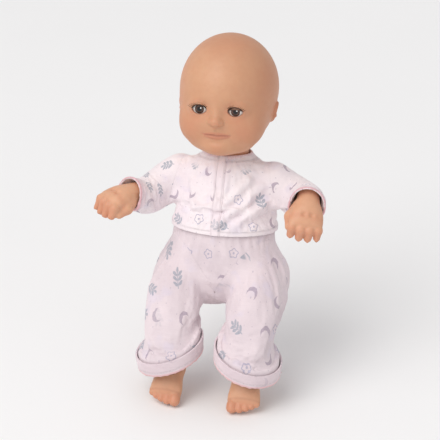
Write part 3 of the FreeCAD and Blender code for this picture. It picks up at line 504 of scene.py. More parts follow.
def leg_form(p, s):
    pts, u, _ = LEG_PTS[s]
    body = tube(p, pts, knot(LEG_K, u))
    # ankle fold
    a, d, side, nrm = foot_axes(s)
    along = unit(pts[-1] - pts[-3])
    q = p - (a - along * 2.5)
    t = q @ along
    rad = np.linalg.norm(q - t[:, None] * along, axis=-1)
    out = smin(body, foot_form(p, s), 4.0)
    out = smax(out, -(np.sqrt((rad - 11.6) ** 2 + t ** 2) - 0.7), 1.8)
    return smax(out, 14.4 - p[:, 0] * s, 0.8)


def trunk_form(p, off):
    x, cols = TRUNK
    q = to_trunk(p)
    return lofted(q, (x, [cols[0] + off, cols[1] + off]), -22 - off, 86 + off * 0.3, 2.0)


# ------------------------------------------------------------------ head (relative to its centre)

HC = A(0, -8, 133)
EYE = {s: A(13.4 * s, -28.1, -3.0) for s in (1, -1)}


def mirror(p):
    q = p.copy()
    q[:, 0] = np.abs(q[:, 0])
    return q


def head_base(q):
    d = smin(ell(q, (0, 4, 4), (36.6, 43, 40)), ell(q, (0, -7, -12), (31.5, 33, 28)), 9)
    return d


def face_form(q):
    """Skull, cheeks, chin and brow, without the small features. q has x on one side only."""
    d = head_base(q)
    d = smin(d, sph(q, (16.2, -21.8, -18.6), 14.1), 9)
    d = smin(d, ell(q, (0, -31.0, -30.6), (10.5, 8, 7)), 7)
    d = smin(d, ell(q, (0, -19.5, -31.6), (20.5, 13, 7.5)), 7)
    d = smax(d, -ell(q, (13.4, -46.0, -2.0), (10.5, 9.0, 6.5)), 6)
    return d


def front(x, z):
    """Where the face's surface is at this width and height."""
    x, z = np.abs(np.atleast_1d(x).astype(float)), np.atleast_1d(z).astype(float)
    a, b = np.full(x.shape, -60.0), np.full(x.shape, -18.0)
    for _ in range(30):
        m = (a + b) / 2
        out = face_form(np.stack([x, m, z], -1)) > 0
        a, b = np.where(out, m, a), np.where(out, b, m)
    return b


_x = np.array([0, 2.2, 4.4, 6.5, 8.3, 9.4])
UPPER_Z = np.array([-20.0, -19.65, -19.75, -20.1, -20.6, -20.95])
LOWER_Z = np.array([-22.6, -22.5, -22.3, -21.9, -21.4, -21.1])
CREASE_Z = np.array([-21.3, -21.1, -20.95, -20.9, -20.9, -21.0])
UPPER = np.stack([_x, front(_x, UPPER_Z) + 0.55, UPPER_Z], -1)
LOWER = np.stack([_x, front(_x, LOWER_Z) + 0.45, LOWER_Z], -1)
CREASE = np.stack([_x, front(_x, CREASE_Z) - 0.85, CREASE_Z], -1)
NOSE_Y = float(front(0, -10)[0])


def almond(q, s=1):
    """Eye opening, seen from the front, relative to the eye's middle."""
    x, z = q[:, 0] - EYE[1][0], q[:, 2] - EYE[1][2]
    w, hu, hl = 5.8, 3.75, 3.15
    ru, rl = (w * w + hu * hu) / (2 * hu), (w * w + hl * hl) / (2 * hl)
    return smax(np.hypot(x, z + ru - hu) - ru, np.hypot(x, z - rl + hl) - rl, 1.2)


def lips(q):
    up = chain(q, UPPER, [0.8, 0.9, 0.85, 0.75, 0.6, 0.4], 0.5)
    low = chain(q, LOWER, [1.15, 1.1, 1.0, 0.85, 0.6, 0.4], 0.5)
    return np.minimum(up, low)


def ear(q):
    c = A(33.7, 4.0, -12.0)
    axes = (unit(A(1, 0.2, -0.26)), unit(A(-0.2, 1, 0.1)), unit(np.cross(A(1, 0.2, -0.26), A(-0.2, 1, 0.1))))
    r = q - c
    u, v, w = r @ axes[0], r @ axes[1], r @ axes[2]
    body = ell(q, c, (2.7, 5.7, 7.7), axes)
    bowl = ell(q, c + axes[0] * 3.2 + axes[1] * (-0.6) + axes[2] * 0.6, (2.5, 3.9, 6.0), axes)
    body = smax(body, -bowl, 1.2)
    rim = np.hypot(np.hypot(v / 5.1, (w - 0.3) / 6.9) * 6.1 - 6.1 + 0.5, u - 1.2) - 1.05
    rim = np.where(w < -5.0, rim + (-(w + 5.0)) * 0.35, rim)
    body = smin(body, rim, 1.0)
    inner = chain(q, [c + axes[0] * 1.2 + axes[1] * 2.0 - axes[2] * 4.0, c + axes[0] * 1.6 + axes[1] * 2.8 + axes[2] * 0.5,
                      c + axes[0] * 1.2 + axes[1] * 0.6 + axes[2] * 4.6], [0.8, 1.0, 0.8], 0.6)
    body = smin(body, inner, 0.8)
    body = smin(body, sph(q, c + axes[0] * 1.2 - axes[1] * 4.8 - axes[2] * 1.2, 1.7), 1.0)
    body = smin(body, ell(q, c + axes[0] * 0.2 - axes[1] * 1.2 - axes[2] * 5.6, (1.5, 2.4, 2.3), axes), 1.5)
    return body


def neck_form(q, off=0.0):
    z = q[:, 2]
    r = np.hypot(q[:, 0], q[:, 1] - 8)
    d = r - (15.3 + off) - 0.5 * np.exp(-((z + 43) / 2.6) ** 2)
    return smax(d, z - (-18), 2)


NOD = math.radians(6.5)


def nod(q):
    """From the level head to the head as it is held, tipped a little forward about the eyes' axle."""
    y, z = q[..., 1] - EYE[1][1], q[..., 2] - EYE[1][2]
    c, n = math.cos(NOD), math.sin(NOD)
    return np.stack([q[..., 0], y * c - z * n + EYE[1][1], y * n + z * c + EYE[1][2]], -1)


def unnod(q):
    y, z = q[..., 1] - EYE[1][1], q[..., 2] - EYE[1][2]
    c, n = math.cos(NOD), math.sin(NOD)
    return np.stack([q[..., 0], y * c + z * n + EYE[1][1], -y * n + z * c + EYE[1][2]], -1)


def head_form(p):
    """p in the trunk frame."""
    held = mirror(p - HC)
    q = unnod(held)
    inner = smin(smin(ell(q, (0, 4, 4), (33.9, 40.3, 37.3)), ell(q, (0, -7, -12), (28.9, 30.4, 25.3)), 7), neck_form(held, -2.3), 2)
    d = face_form(q)
    d = smin(d, neck_form(held), 4.5)
    # lids over the eyes
    e = EYE[1]
    d = smin(d, sph(q, e, 10.15), 1.8)
    # upper lid fold
    fold_x = np.array([7.6, 10.2, 13.4, 16.8, 19.6])
    fold_z = np.array([-2.2, 0.9, 2.1, 1.2, -1.8])
    pts = []
    for x, z in zip(fold_x, fold_z):
        rel = A(x - e[0], 0, z - e[2])
        y = e[1] - math.sqrt(max(10.3 ** 2 - rel[0] ** 2 - rel[2] ** 2, 1.0))
        pts.append(A(x, y - 0.1, z))
    d = smax(d, -chain(q, pts, [0.2, 0.4, 0.45, 0.4, 0.2], 0.3), 0.7)
    # nose
    y = NOSE_Y
    d = smin(d, cap(q, (0, y + 2.6, -4.5), (0, y + 0.8, -8.5), 2.2, 2.6), 4.0)
    d = smin(d, ell(q, (0, y - 1.2, -10.1), (4.1, 3.8, 3.6)), 2.2)
    d = smin(d, ell(q, (3.8, y + 0.5, -10.7), (2.0, 2.4, 2.0)), 1.6)
    d = smax(d, -ell(q, (1.7, y - 1.4, -13.3), (0.7, 1.2, 0.6)), 0.7)
    # philtrum and mouth
    d = smax(d, -cap(q, (0, y - 0.3, -14.2), (0, float(UPPER[0, 1]) - 1.4, -17.8), 0.7), 1.3)
    at_mouth = (q[:, 1] < -24) & (np.abs(q[:, 2] + 21.1) < 9)
    d = smin(d, only(q, at_mouth, lips), 1.3)
    d = smax(d, -only(q, at_mouth, lambda m: chain(m, CREASE, [0.42, 0.42, 0.4, 0.36, 0.32, 0.3], 0.2)), 0.8)
    d = smax(d, -sph(q, (10.1, float(front(10.1, -21.0)[0]) - 0.3, -21.0), 0.6), 1.4)
    # dip under the lower lip
    d = smax(d, -ell(q, (0, float(front(0, -26.6)[0]) - 1.1, -26.6), (6.0, 1.7, 1.5)), 2.2)
    d = smin(d, only(q, q[:, 0] > 27, ear), 1.6)
    # eye opening and socket
    hole = smax(almond(q), q[:, 1] + 27, 0.5)
    d = smax(d, -hole, 0.6)
    d = smax(d, -sph(q, e, 8.78), 0.15)
    d = smax(d, -smax(inner, 11.6 - np.linalg.norm(q - e, axis=-1), 1.0), 0.4)
    return smax(d, -46.5 - held[:, 2], 0.5)


# ------------------------------------------------------------------ materials

def lin(r, g, b):
    return tuple((c / 255 / 12.92) if c <= 10.31 else ((c / 255 + 0.055) / 1.055) ** 2.4 for c in (r, g, b)) + (1.0,)


class Sum:
    """Arithmetic on node sockets."""

    def __init__(self, tree, sock):
        self.t, self.s = tree, sock

    def op(self, kind, *others, clamp=False):
        n = self.t.nodes.new("ShaderNodeMath")
        n.operation = kind
        n.use_clamp = clamp
        for i, o in enumerate((self,) + others):
            if isinstance(o, Sum):
                self.t.links.new(o.s, n.inputs[i])
            else:
                n.inputs[i].default_value = float(o)
        return Sum(self.t, n.outputs[0])

    def __add__(self, o):
        return self.op("ADD", o)

    def __sub__(self, o):
        return self.op("SUBTRACT", o)

    def __mul__(self, o):
        return self.op("MULTIPLY", o)

    def __truediv__(self, o):
        return self.op("DIVIDE", o)

    def step(self, a, b):
        """Eased from 0 at a to 1 at b."""
        n = self.t.nodes.new("ShaderNodeMapRange")
        n.interpolation_type = "SMOOTHSTEP"
        self.t.links.new(self.s, n.inputs["Value"])
        n.inputs["From Min"].default_value, n.inputs["From Max"].default_value = (a, b) if a < b else (b, a)
        n.inputs["To Min"].default_value, n.inputs["To Max"].default_value = (0, 1) if a < b else (1, 0)
        return Sum(self.t, n.outputs[0])


class Look:
    """One material being made."""

    def __init__(self, name):
        self.m = bpy.data.materials.new(name)
        self.m.use_nodes = True
        self.t = self.m.node_tree
        self.b = self.t.nodes["Principled BSDF"]
        self.bumps = []

    def put(self, **k):
        names = {"rough": "Roughness", "metal": "Metallic", "spec": "Specular IOR Level", "coat": "Coat Weight", "coat_rough": "Coat Roughness",
                 "sheen": "Sheen Weight", "sheen_rough": "Sheen Roughness", "sss": "Subsurface Weight", "sss_scale": "Subsurface Scale", "ior": "IOR"}
        for a, v in k.items():
            if isinstance(v, Sum):
                self.t.links.new(v.s, self.b.inputs[names[a]])
            else:
                self.b.inputs[names[a]].default_value = v
        return self

    def coord(self, kind="Object", uv=None):
        if uv:
            n = self.t.nodes.new("ShaderNodeUVMap")
            n.uv_map = uv
            return n.outputs[0]
        return self.t.nodes.new("ShaderNodeTexCoord").outputs[kind]

    def scaled(self, vec, s):
        n = self.t.nodes.new("ShaderNodeMapping")
        self.t.links.new(vec, n.inputs[0])
        n.inputs["Scale"].default_value = s
        return n.outputs[0]

    def attr(self, name):
        n = self.t.nodes.new("ShaderNodeAttribute")
        n.attribute_name = name
        return Sum(self.t, n.outputs["Fac"])

    def attr_vec(self, name):
        n = self.t.nodes.new("ShaderNodeAttribute")
        n.attribute_name = name
        return n.outputs["Vector"]

    def noise(self, vec, scale, detail=3.0, rough=0.55, distort=0.0):
        n = self.t.nodes.new("ShaderNodeTexNoise")
        self.t.links.new(vec, n.inputs["Vector"])
        n.inputs["Scale"].default_value, n.inputs["Detail"].default_value = scale, detail
        n.inputs["Roughness"].default_value, n.inputs["Distortion"].default_value = rough, distort
        return Sum(self.t, n.outputs["Fac"])

    def cells(self, vec, scale, feature="F1"):
        n = self.t.nodes.new("ShaderNodeTexVoronoi")
        n.feature = feature
        self.t.links.new(vec, n.inputs["Vector"])
        n.inputs["Scale"].default_value = scale
        return Sum(self.t, n.outputs["Distance"])

    def split(self, vec):
        n = self.t.nodes.new("ShaderNodeSeparateXYZ")
        self.t.links.new(vec, n.inputs[0])
        return [Sum(self.t, o) for o in n.outputs]

    def join(self, x, y, z=0.0):
        n = self.t.nodes.new("ShaderNodeCombineXYZ")
        for i, v in enumerate((x, y, z)):
            if isinstance(v, Sum):
                self.t.links.new(v.s, n.inputs[i])
            else:
                n.inputs[i].default_value = v
        return n.outputs[0]

    def mix(self, fac, a, b, blend="MIX"):
        n = self.t.nodes.new("ShaderNodeMix")
        n.data_type, n.blend_type = "RGBA", blend
        if isinstance(fac, Sum):
            self.t.links.new(fac.s, n.inputs[0])
        else:
            n.inputs[0].default_value = fac
        for i, v in ((6, a), (7, b)):
            if isinstance(v, tuple):
                n.inputs[i].default_value = v
            else:
                self.t.links.new(v, n.inputs[i])
        return n.outputs[2]

    def colour(self, sock):
        if isinstance(sock, tuple):
            self.b.inputs["Base Color"].default_value = sock
        else:
            self.t.links.new(sock, self.b.inputs["Base Color"])
        return self

    def bump(self, height, depth):
        """height 0 to 1, depth in metres."""
        n = self.t.nodes.new("ShaderNodeBump")
        n.inputs["Distance"].default_value = depth
        n.inputs["Strength"].default_value = 1.0
        self.t.links.new(height.s, n.inputs["Height"])
        if self.bumps:
            self.t.links.new(self.bumps[-1].outputs[0], n.inputs["Normal"])
        self.bumps.append(n)
        for l in list(self.b.inputs["Normal"].links):
            self.t.links.remove(l)
        self.t.links.new(n.outputs[0], self.b.inputs["Normal"])
        return self


def vinyl(name, low=lin(213, 160, 127), high=lin(221, 171, 138)):
    """Soft doll vinyl: faint mottling, blush and lip paint, and painted shade in creases and toward the head's edges,
    from the piece's own fields.
    """
    k = Look(name)
    o = k.coord()
    big = k.noise(o, 26, 3)
    fine = k.noise(o, 260, 3, 0.6)
    c = k.mix(big.step(0.3, 0.72), low, high)
    c = k.mix(fine.step(0.35, 0.75) * 0.16, c, lin(190, 132, 101))
    # blush paint, with painted shade toward the head's sides, back and top and under the jaw
    blush = k.attr("blush")
    c = k.mix((blush * (k.noise(o, 60, 2) * 0.35 + 0.8)).op("MINIMUM", 1.0) * 0.62, c, lin(200, 124, 96))
    c = k.mix(k.attr("lip") * 0.72, c, lin(190, 108, 90))
    # painted shade in creases and recesses: the mouth line, the rims of the eye openings, the nostrils, the wrist fold
    # and the roots of the toes
    c = k.mix(k.attr("crease") * 0.7, c, lin(150, 84, 66))
    k.colour(c).put(rough=(fine * 0.14 + 0.42), spec=0.42, sss=0.12, sss_scale=0.004, coat=0.06, coat_rough=0.4)
    k.b.inputs["Subsurface Radius"].default_value = (1.0, 0.42, 0.25)
    k.bump(k.noise(o, 1500, 2, 0.5), 0.000035)
    k.bump(k.noise(o, 120, 2, 0.5), 0.00012)
    return k.m


def hashed(k, x, y, seed):
    n = k.t.nodes.new("ShaderNodeTexWhiteNoise")
    n.noise_dimensions = "3D"
    k.t.links.new(k.join(x, y, seed), n.inputs["Vector"])
    return k.split(n.outputs["Color"])


def motif_layer(k, u, v, cell, seed, size=1.5):
    """Scattered small motifs on a staggered grid: the three ink masks (crescent, sprig, ring)."""
    row = (v / cell).op("FLOOR")
    shift = (row * 0.5).op("FRACT") * cell + seed * 3.1
    us = u + shift
    col = (us / cell).op("FLOOR")
    rx, ry, rz = hashed(k, col, row, seed)
    x = us - (col + 0.5) * cell - (rx - 0.5) * (cell * 0.28)
    y = v - (row + 0.5) * cell - (ry - 0.5) * (cell * 0.28)
    ang = rx * 41.0 + ry * 17.0
    cs, sn = ang.op("COSINE"), ang.op("SINE")
    p, q = (x * cs + y * sn) / size, (y * cs - x * sn) / size

    def length(a, b):
        return (a * a + b * b).op("SQRT")

    def ink(d, soft=0.13):
        return d.step(soft, -soft)

    crescent = (length(p, q) - 2.7).op("MAXIMUM", length(p - 1.25, q - 0.2) * -1.0 + 2.25)
    c_ink = ink(crescent) * rz.step(0.37, 0.36)
    # sprig: a stem with pairs of leaves and one at its tip
    px = p.op("ABSOLUTE")
    stem = (px - 0.2).op("MAXIMUM", q.op("ABSOLUTE") - 3.4)
    leaf = None
    for up in (-2.0, 0.0, 1.9):
        ax_, ay_ = px - 1.15, q - (up + 0.75)
        lx, ly = ax_ * 0.72 - ay_ * 0.69, ax_ * 0.69 + ay_ * 0.72
        one = (length(lx / 0.62, ly / 1.4) - 1.0) * 0.62
        leaf = one if leaf is None else leaf.op("MINIMUM", one)
    tip = (length(p / 0.55, (q - 4.0) / 1.15) - 1.0) * 0.55
    s_ink = ink(stem.op("MINIMUM", leaf).op("MINIMUM", tip), 0.14) * rz.step(0.36, 0.37) * rz.step(0.73, 0.72)
    # ring with a scalloped edge
    r = length(p, q)
    wave = (q.op("ARCTAN2", p) * 5.0).op("SINE") * 0.28
    ring = (r - 2.05 - wave).op("ABSOLUTE") - 0.26
    dot = r - 0.55
    r_ink = ink(ring.op("MINIMUM", dot), 0.12) * rz.step(0.72, 0.73)
    return c_ink, s_ink, r_ink, rx


def jersey(name, base, base2, strength, print_on=True, rib=False, stitch=True, edge_colour=None, at=3.0):
    """Printed cotton jersey on the 'Print' map, which is in metres times 1000."""
    k = Look(name)
    uv = k.coord(uv="Print")
    u, v, _ = k.split(uv)
    rest = k.attr_vec("rest")
    c = k.mix(k.noise(rest, 0.045, 2).step(0.35, 0.7), base, base2)
    if print_on:
        show = k.attr("bare") * -1.0 + 1.0
        # pale washes behind the motifs
        wash = k.noise(rest, 0.075, 1)
        c = k.mix(wash.step(0.56, 0.72) * (0.34 * strength), c, lin(214, 205, 224))
        for seed, cell in ((1.0, 20.5),):
            ci, si, ri, rx = motif_layer(k, u, v, cell, seed)
            worn = k.noise(uv, 1.3, 2).step(0.2, 0.7) * 0.35 + 0.65
            c = k.mix(ci * show * worn * (0.72 * strength), c, lin(146, 128, 150))
            c = k.mix(si * show * worn * (0.74 * strength), c, lin(126, 142, 158))
            c = k.mix(ri * show * worn * (0.66 * strength), c, lin(142, 144, 174))
        # tiny dots between them
        ci, si, ri, rx = motif_dots(k, u, v, 7.3)
        c = k.mix(ci * (0.5 * strength), c, lin(176, 164, 178))
    # knit: fine wales and courses
    wale = (u * (math.pi * 2 / 0.62)).op("SINE")
    course = (v * (math.pi * 2 / 0.5) + wale * 0.9).op("SINE")
    knit = (wale * 0.5 + course * 0.5) * 0.5 + 0.5
    c = k.mix((knit.step(0.0, 0.45) * -1.0 + 1.0) * 0.13, c, lin(178, 160, 168))
    fuzz = k.noise(uv, 2.6, 3, 0.7)
    c = k.mix(fuzz.step(0.45, 0.8) * 0.10, c, lin(255, 250, 250))
    if edge_colour:
        c = k.mix(k.attr("edge").step(1.7, 0.9) * 0.85, c, edge_colour)
    if stitch:
        e = k.attr("edge")
        line = (e - at).op("ABSOLUTE").step(0.32, 0.14)
        dash = ((u / 2.0).op("FRACT") - 0.5).op("ABSOLUTE").step(0.40, 0.32)
        thread = line * dash
        c = k.mix(thread * 0.55, c, lin(250, 240, 242))
        groove = (e - at).op("ABSOLUTE").step(0.9, 0.2)
        # painted shade along the stitch groove
        c = k.mix(groove * 0.12, c, lin(150, 130, 138))
    k.colour(c).put(rough=0.88, spec=0.2, sheen=0.35, sheen_rough=0.5)
    k.b.inputs["Sheen Tint"].default_value = (1, 0.96, 0.97, 1)
    if rib:
        ribs = (u * (math.pi * 2 / 1.9)).op("SINE") * 0.5 + 0.5
        k.bump(ribs, 0.00035)
    k.bump(k.noise(rest, 0.28, 3, 0.5), 0.0005)
    k.bump(knit, 0.00007)
    if stitch:
        k.bump(thread * 1.0 - groove * 0.6, 0.00022)
    return k.m


def motif_dots(k, u, v, cell):
    row, col = (v / cell).op("FLOOR"), (u / cell).op("FLOOR")
    rx, ry, rz = hashed(k, col, row, 7.0)
    x = u - (col + 0.5) * cell - (rx - 0.5) * 4.0
    y = v - (row + 0.5) * cell - (ry - 0.5) * 4.0
    d = (x * x + y * y).op("SQRT") - (rz * 0.25 + 0.22)
    m = d.step(0.1, -0.1) * rz.step(0.45, 0.5)
    return m, m, m, rx


HEAD_GRID = [graded([(-44, -21.5, 0), (-21.5, 21.5, 1), (21.5, 44, 0)], 1.05, 0.56),
             graded([(-54, -24, 1), (-24, 51, 0)], 1.1, 0.58) - 8.0,
             graded([(-48.5, -27, 0), (-27, 4, 1), (4, 54, 0)], 1.05, 0.54) + 133.0]


# ------------------------------------------------------------------ clothes forms

SLEEVE_END, TROUSER_END = {1: 6.0, -1: 5.2}, 9.0
SLEEVE, TROUSER = {}, {}
for _s in (1, -1):
    e_, w_ = A(*ARM[_s][2]), A(*ARM[_s][3])
    hem = w_ + unit(unit(w_ - e_) + unit(TIP[_s] - w_) * 1.4) * SLEEVE_END[_s]
    SLEEVE[_s] = bezier([ARM[_s][0], ARM[_s][1], ARM[_s][2], hem], 30, ext=7.0)
    k_, a_ = LEG[_s][2], LEG[_s][3]
    hem = a_ + unit(k_ - a_) * TROUSER_END
    TROUSER[_s] = bezier([LEG[_s][0], LEG[_s][1], LEG[_s][2], hem], 34, ext=8.0)
SLEEVE_K = {1: [(0, 13.9), (0.5, 13.6), (1, 12.4)], -1: [(0, 13.9), (0.5, 13.2), (1, 11.8)]}
TROUSER_K = [(0, 21.4), (0.5, 21.0), (1, 24.2)]
SHIRT = curve_table([(20, 40.5, 34.5, 0.5), (36, 40.0, 33.8, 0.5), (46, 38.5, 32.5, 0), (60, 36.6, 30.0, 0), (70, 35.4, 27.8, 0), (78, 32.0, 25.0, 0), (83, 27.4, 22.6, 0.2),
                     (87, 22.0, 20.0, 0.3), (90, 18.8, 18.4, 0.3), (93, 17.7, 17.6, 0.3), (104, 17.5, 17.5, 0.3)], 20, 104, 240)
SEAT = curve_table([(-24, 16, 14, 0), (-20, 24, 21, 0), (-12, 30, 26, 0), (0, 35.6, 30, 0), (15, 37.8, 31.4, 0), (30, 37.6, 32, 0), (41, 36.4, 31, 0), (56, 36, 30.6, 0)],
                   -24, 56, 200)


def on_shirt(x, z, deep):
    """A place on the shirt's front, deep mm under its surface."""
    t, cols = SHIRT
    a, b, m = [float(np.interp(z, t, c)) for c in cols]
    return to_row(A(x, m - b * math.sqrt(max(1 - (x / a) ** 2, 0.02)) + deep, z))


# long soft folds: fanning from the lower middle to one shoulder, and hanging on the other side
CREASES = [[(1, 40), (11, 51), (21, 62), (29, 71)], [(10, 37), (20, 47), (31, 58)], [(5, 57), (13, 66), (20, 75)], [(-13, 38), (-17, 54), (-22, 70)]]
CREASE_PTS = [[on_shirt(x, z, 0.9) for x, z in c] for c in CREASES]


def folds(rest):
    """Height in mm of the shirt's soft folds at these places on its front."""
    h = np.zeros(len(rest))
    for c, high in zip(CREASE_PTS, (2.7, 2.2, 2.0, 1.7)):
        d = chain(rest, c, [0.0] * len(c), 0.1)
        h += high * np.exp(-(d / 2.9) ** 2) - 0.3 * high * np.exp(-((d - 5.6) / 2.4) ** 2)
    return h * (rest[:, 1] < 0)


def shirt_form(p):
    d = lofted(to_trunk(p), SHIRT, 24, 102)
    for s in (1, -1):
        pts, u, _ = SLEEVE[s]
        d = smin(d, tube(p, pts, knot(SLEEVE_K[s], u)), 9.0)
    return d


def trouser_form(p):
    d = lofted(to_trunk(p), SEAT, -23, 54)
    for s in (1, -1):
        pts, u, _ = TROUSER[s]
        d = smin(d, tube(p, pts, knot(TROUSER_K, u)), 7.0)
    # flattened where the doll sits
    return smax(d, 0.5 - p[:, 2] - 70 * smoothstep(-14, -44, p[:, 1]), 3.0)


def body_form(p):
    d = trunk_form(p, 0.6)
    for s in (1, -1):
        d = smin(d, tube(p, ARM_PTS[s][0], knot(ARM_K, ARM_PTS[s][1])), 2.0)
        d = smin(d, only(p, np.linalg.norm(p - A(*ARM[s][3]), axis=-1) < 26, lambda m, s=s: hand_form(m, s)), 1.0)
        d = smin(d, tube(p, LEG_PTS[s][0], knot(LEG_K, LEG_PTS[s][1])), 2.0)
    return d


def trim(ob_or_bm, cuts, where=None):
    """Cuts a mesh by planes (point, normal), dropping the side the normal points to. where is not used; each cut's
    third item, region(co), keeps that cut to one region.
    """
    bm = ob_or_bm
    for co, no, region in cuts:
        geom = bm.verts[:] + bm.edges[:] + bm.faces[:]
        if region:
            vs = set(v for v in bm.verts if region(v.co))
            geom = [g for g in bm.verts if g in vs] + [e for e in bm.edges if all(v in vs for v in e.verts)] + [f for f in bm.faces if all(v in vs for v in f.verts)]
        bmesh.ops.bisect_plane(bm, geom=geom, dist=1e-5, plane_co=co, plane_no=no, clear_outer=False)
        drop = [v for v in bm.verts if (v.co - Vector(co)).dot(Vector(no)) > 1e-4 and (not region or region(v.co))]
        bmesh.ops.delete(bm, geom=drop, context="VERTS")
    return bm


def bm_new(v, faces):
    bm = bmesh.new()
    vs = [bm.verts.new(c) for c in v]
    for f in faces:
        try:
            bm.faces.new([vs[i] for i in f])
        except ValueError:
            pass
    bm.normal_update()
    return bm


def bm_arrays(bm):
    bm.verts.index_update()
    v = np.array([x.co[:] for x in bm.verts])
    f = [[x.index for x in q.verts] for q in bm.faces]
    return v, f


def sleeve_hem(s):
    pts, u, ln = SLEEVE[s]
    return pts[-2], unit(unit(pts[-1] - pts[-2]) + hand_axes(s)[1] * (0.9 if s > 0 else 0.6))


def trouser_hem(s):
    pts, u, ln = TROUSER[s]
    return pts[-2], unit(unit(pts[-1] - pts[-2]) + A(-0.28 * s, 0, 0))


NECK_UP, HEM_UP, WAIST_UP = 90.2, 33.0, 42.0
UPWARD = to_row(A(0, 0, 1)) - to_row(A(0, 0, 0))


def cut_shirt(bm):
    cuts = [(to_row(A(0, 0, NECK_UP)), UPWARD, lambda c: abs(c.x) < 30 and c.z > 90), (to_row(A(0, 0, HEM_UP)), -UPWARD, lambda c: abs(c.x) < 50 and c.z < 76)]
    for s in (1, -1):
        o, d = sleeve_hem(s)
        cuts.append((o, d, lambda c, s=s: c.x * s > 44 and c.y < 6))
    return trim(bm, cuts)


def cut_trousers(bm):
    cuts = [(to_row(A(0, 0, WAIST_UP)), UPWARD, lambda c: c.z > 48 and c.y > -60)]
    for s in (1, -1):
        o, d = trouser_hem(s)
        cuts.append((o, d, lambda c, s=s: c.x * s > 0 and c.z < -12))
    return trim(bm, cuts)


def rim_loops(bm):
    return [v for v in bm.verts if any(len(e.link_faces) == 1 for e in v.link_edges)]


def drape(v, faces, pin, body, frames=22, grow=0.07, fall=0.25, bend=0.25):
    """Cloth over the body, at ten times life size. pin is 0 to 1 per point."""
    cloth = make("drape_cloth", np.asarray(v) * 10, faces, False)
    solid_ = make("drape_body", np.asarray(body[0]) * 10, body[1], False)
    solid_.modifiers.new("c", "COLLISION")
    solid_.collision.thickness_outer = 0.008
    solid_.collision.cloth_friction = 8
    g = cloth.vertex_groups.new(name="pin")
    for i, w in enumerate(pin):
        if w > 0.01:
            g.add([i], float(min(w, 1.0)), "REPLACE")
    m = cloth.modifiers.new("cloth", "CLOTH")
    c = m.settings
    c.quality = 6
    c.mass = 0.25
    c.tension_stiffness = c.compression_stiffness = 18
    c.shear_stiffness = 6
    c.bending_stiffness = bend
    c.tension_damping = c.compression_damping = c.shear_damping = 6
    c.bending_damping = 0.6
    c.air_damping = 1.5
    c.vertex_group_mass = "pin"
    c.pin_stiffness = 2.0
    c.shrink_min = -grow
    c.effector_weights.gravity = fall
    m.collision_settings.distance_min = 0.012
    m.collision_settings.use_self_collision = False
    m.collision_settings.collision_quality = 3
    sc = bpy.context.scene
    sc.frame_start, sc.frame_end = 1, frames
    m.point_cache.frame_start, m.point_cache.frame_end = 1, frames
    for f in range(1, frames + 1):
        sc.frame_set(f)
    dg = bpy.context.evaluated_depsgraph_get()
    me = cloth.evaluated_get(dg).to_mesh()
    co = np.zeros(len(me.vertices) * 3)
    me.vertices.foreach_get("co", co)
    out = co.reshape(-1, 3) * 100
    for o in (cloth, solid_):
        d = o.data
        bpy.data.objects.remove(o)
        bpy.data.meshes.remove(d)
    sc.frame_set(1)
    return out


def cap_move(v, w, most):
    d = w - v
    n = np.linalg.norm(d, axis=-1, keepdims=True)
    n = np.maximum(n, 1e-9)
    return v + d / n * (most * np.tanh(n / most))


def clear_of(f, v, gap):
    """Pushes points out until they stand gap clear of the form f."""
    for _ in range(3):
        d = value(f, v)
        m = d < gap
        if not m.any():
            break
        g = slope(f, v[m], 0.3)
        g /= np.maximum(np.linalg.norm(g, axis=-1, keepdims=True), 1e-9)
        v = v.copy()
        v[m] += g * (gap - d[m])[:, None]
    return v

# ====BUILD ------------------------------------------------------------------ skins

# painted shade: the head's vinyl is the limbs' vinyl made darker, as if the head sat in shade
HEAD_VINYL_SHADED = vinyl("vinyl_painted", lin(201, 148, 115), lin(209, 158, 124))


def gauss(d, w):
    return np.exp(-(d / w) ** 2)


v, f = skin(head_form, None, None, 0.55, grid=HEAD_GRID)
head = make("doll_head", to_row(v), f)
held = mirror(v - HC)
q = unnod(held)
near_mouth = (q[:, 1] < -24) & (np.abs(q[:, 2] + 21.1) < 9)
lip_d = only(q, near_mouth, lips)
crease_d = only(q, near_mouth, lambda m: chain(m, CREASE, [0.42, 0.42, 0.4, 0.36, 0.32, 0.3], 0.2))
# blush paint on the cheeks, nose tip, chin and ears
blush = 0.95 * gauss(np.linalg.norm(q - A(17.5, -31, -17.5), axis=-1), 9.5) + 0.55 * gauss(np.linalg.norm(q - A(0, NOSE_Y - 2, -10.5), axis=-1), 4.0)
blush += 0.45 * gauss(np.linalg.norm(q - A(0, -37, -33), axis=-1), 6.5) + 0.7 * smoothstep(33.5, 37.5, q[:, 0]) * (np.abs(q[:, 2] + 14) < 12)
# painted shade under the jaw
blush += 0.45 * smoothstep(-31, -42, held[:, 2]) * smoothstep(-26, -12, held[:, 1])
# redder in a ring just outside each eye opening
eye_d = np.linalg.norm((q - EYE[1])[:, [0, 2]], axis=-1)
blush += 0.3 * gauss(eye_d - 6.6, 2.2) * (q[:, 1] < -26)
# painted shade: darker and redder toward the sides, back and top of the head
blush += 0.42 * smoothstep(22, 34, q[:, 0]) + 0.35 * smoothstep(2, 26, q[:, 1]) + 0.25 * smoothstep(30, 40, q[:, 2])
tint(head, "blush", np.clip(blush, 0, 1))
tint(head, "lip", 0.62 * smoothstep(1.1, 0.0, lip_d))
# painted shade: darker at the rims of the eye openings, in the mouth line and in the nostrils
rim = smoothstep(0.75, 0.1, np.abs(almond(q))) * (q[:, 1] < -30) * 0.75
nostril = smoothstep(0.8, 0.0, ell(q, (1.7, NOSE_Y - 1.4, -13.3), (0.7, 1.2, 0.6)))
tint(head, "crease", np.clip(smoothstep(0.75, 0.2, crease_d) * 0.6 + rim + nostril * 0.4, 0, 1))
head.data.materials.append(HEAD_VINYL_SHADED)
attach(head, "head")
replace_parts(head, "head_shell")

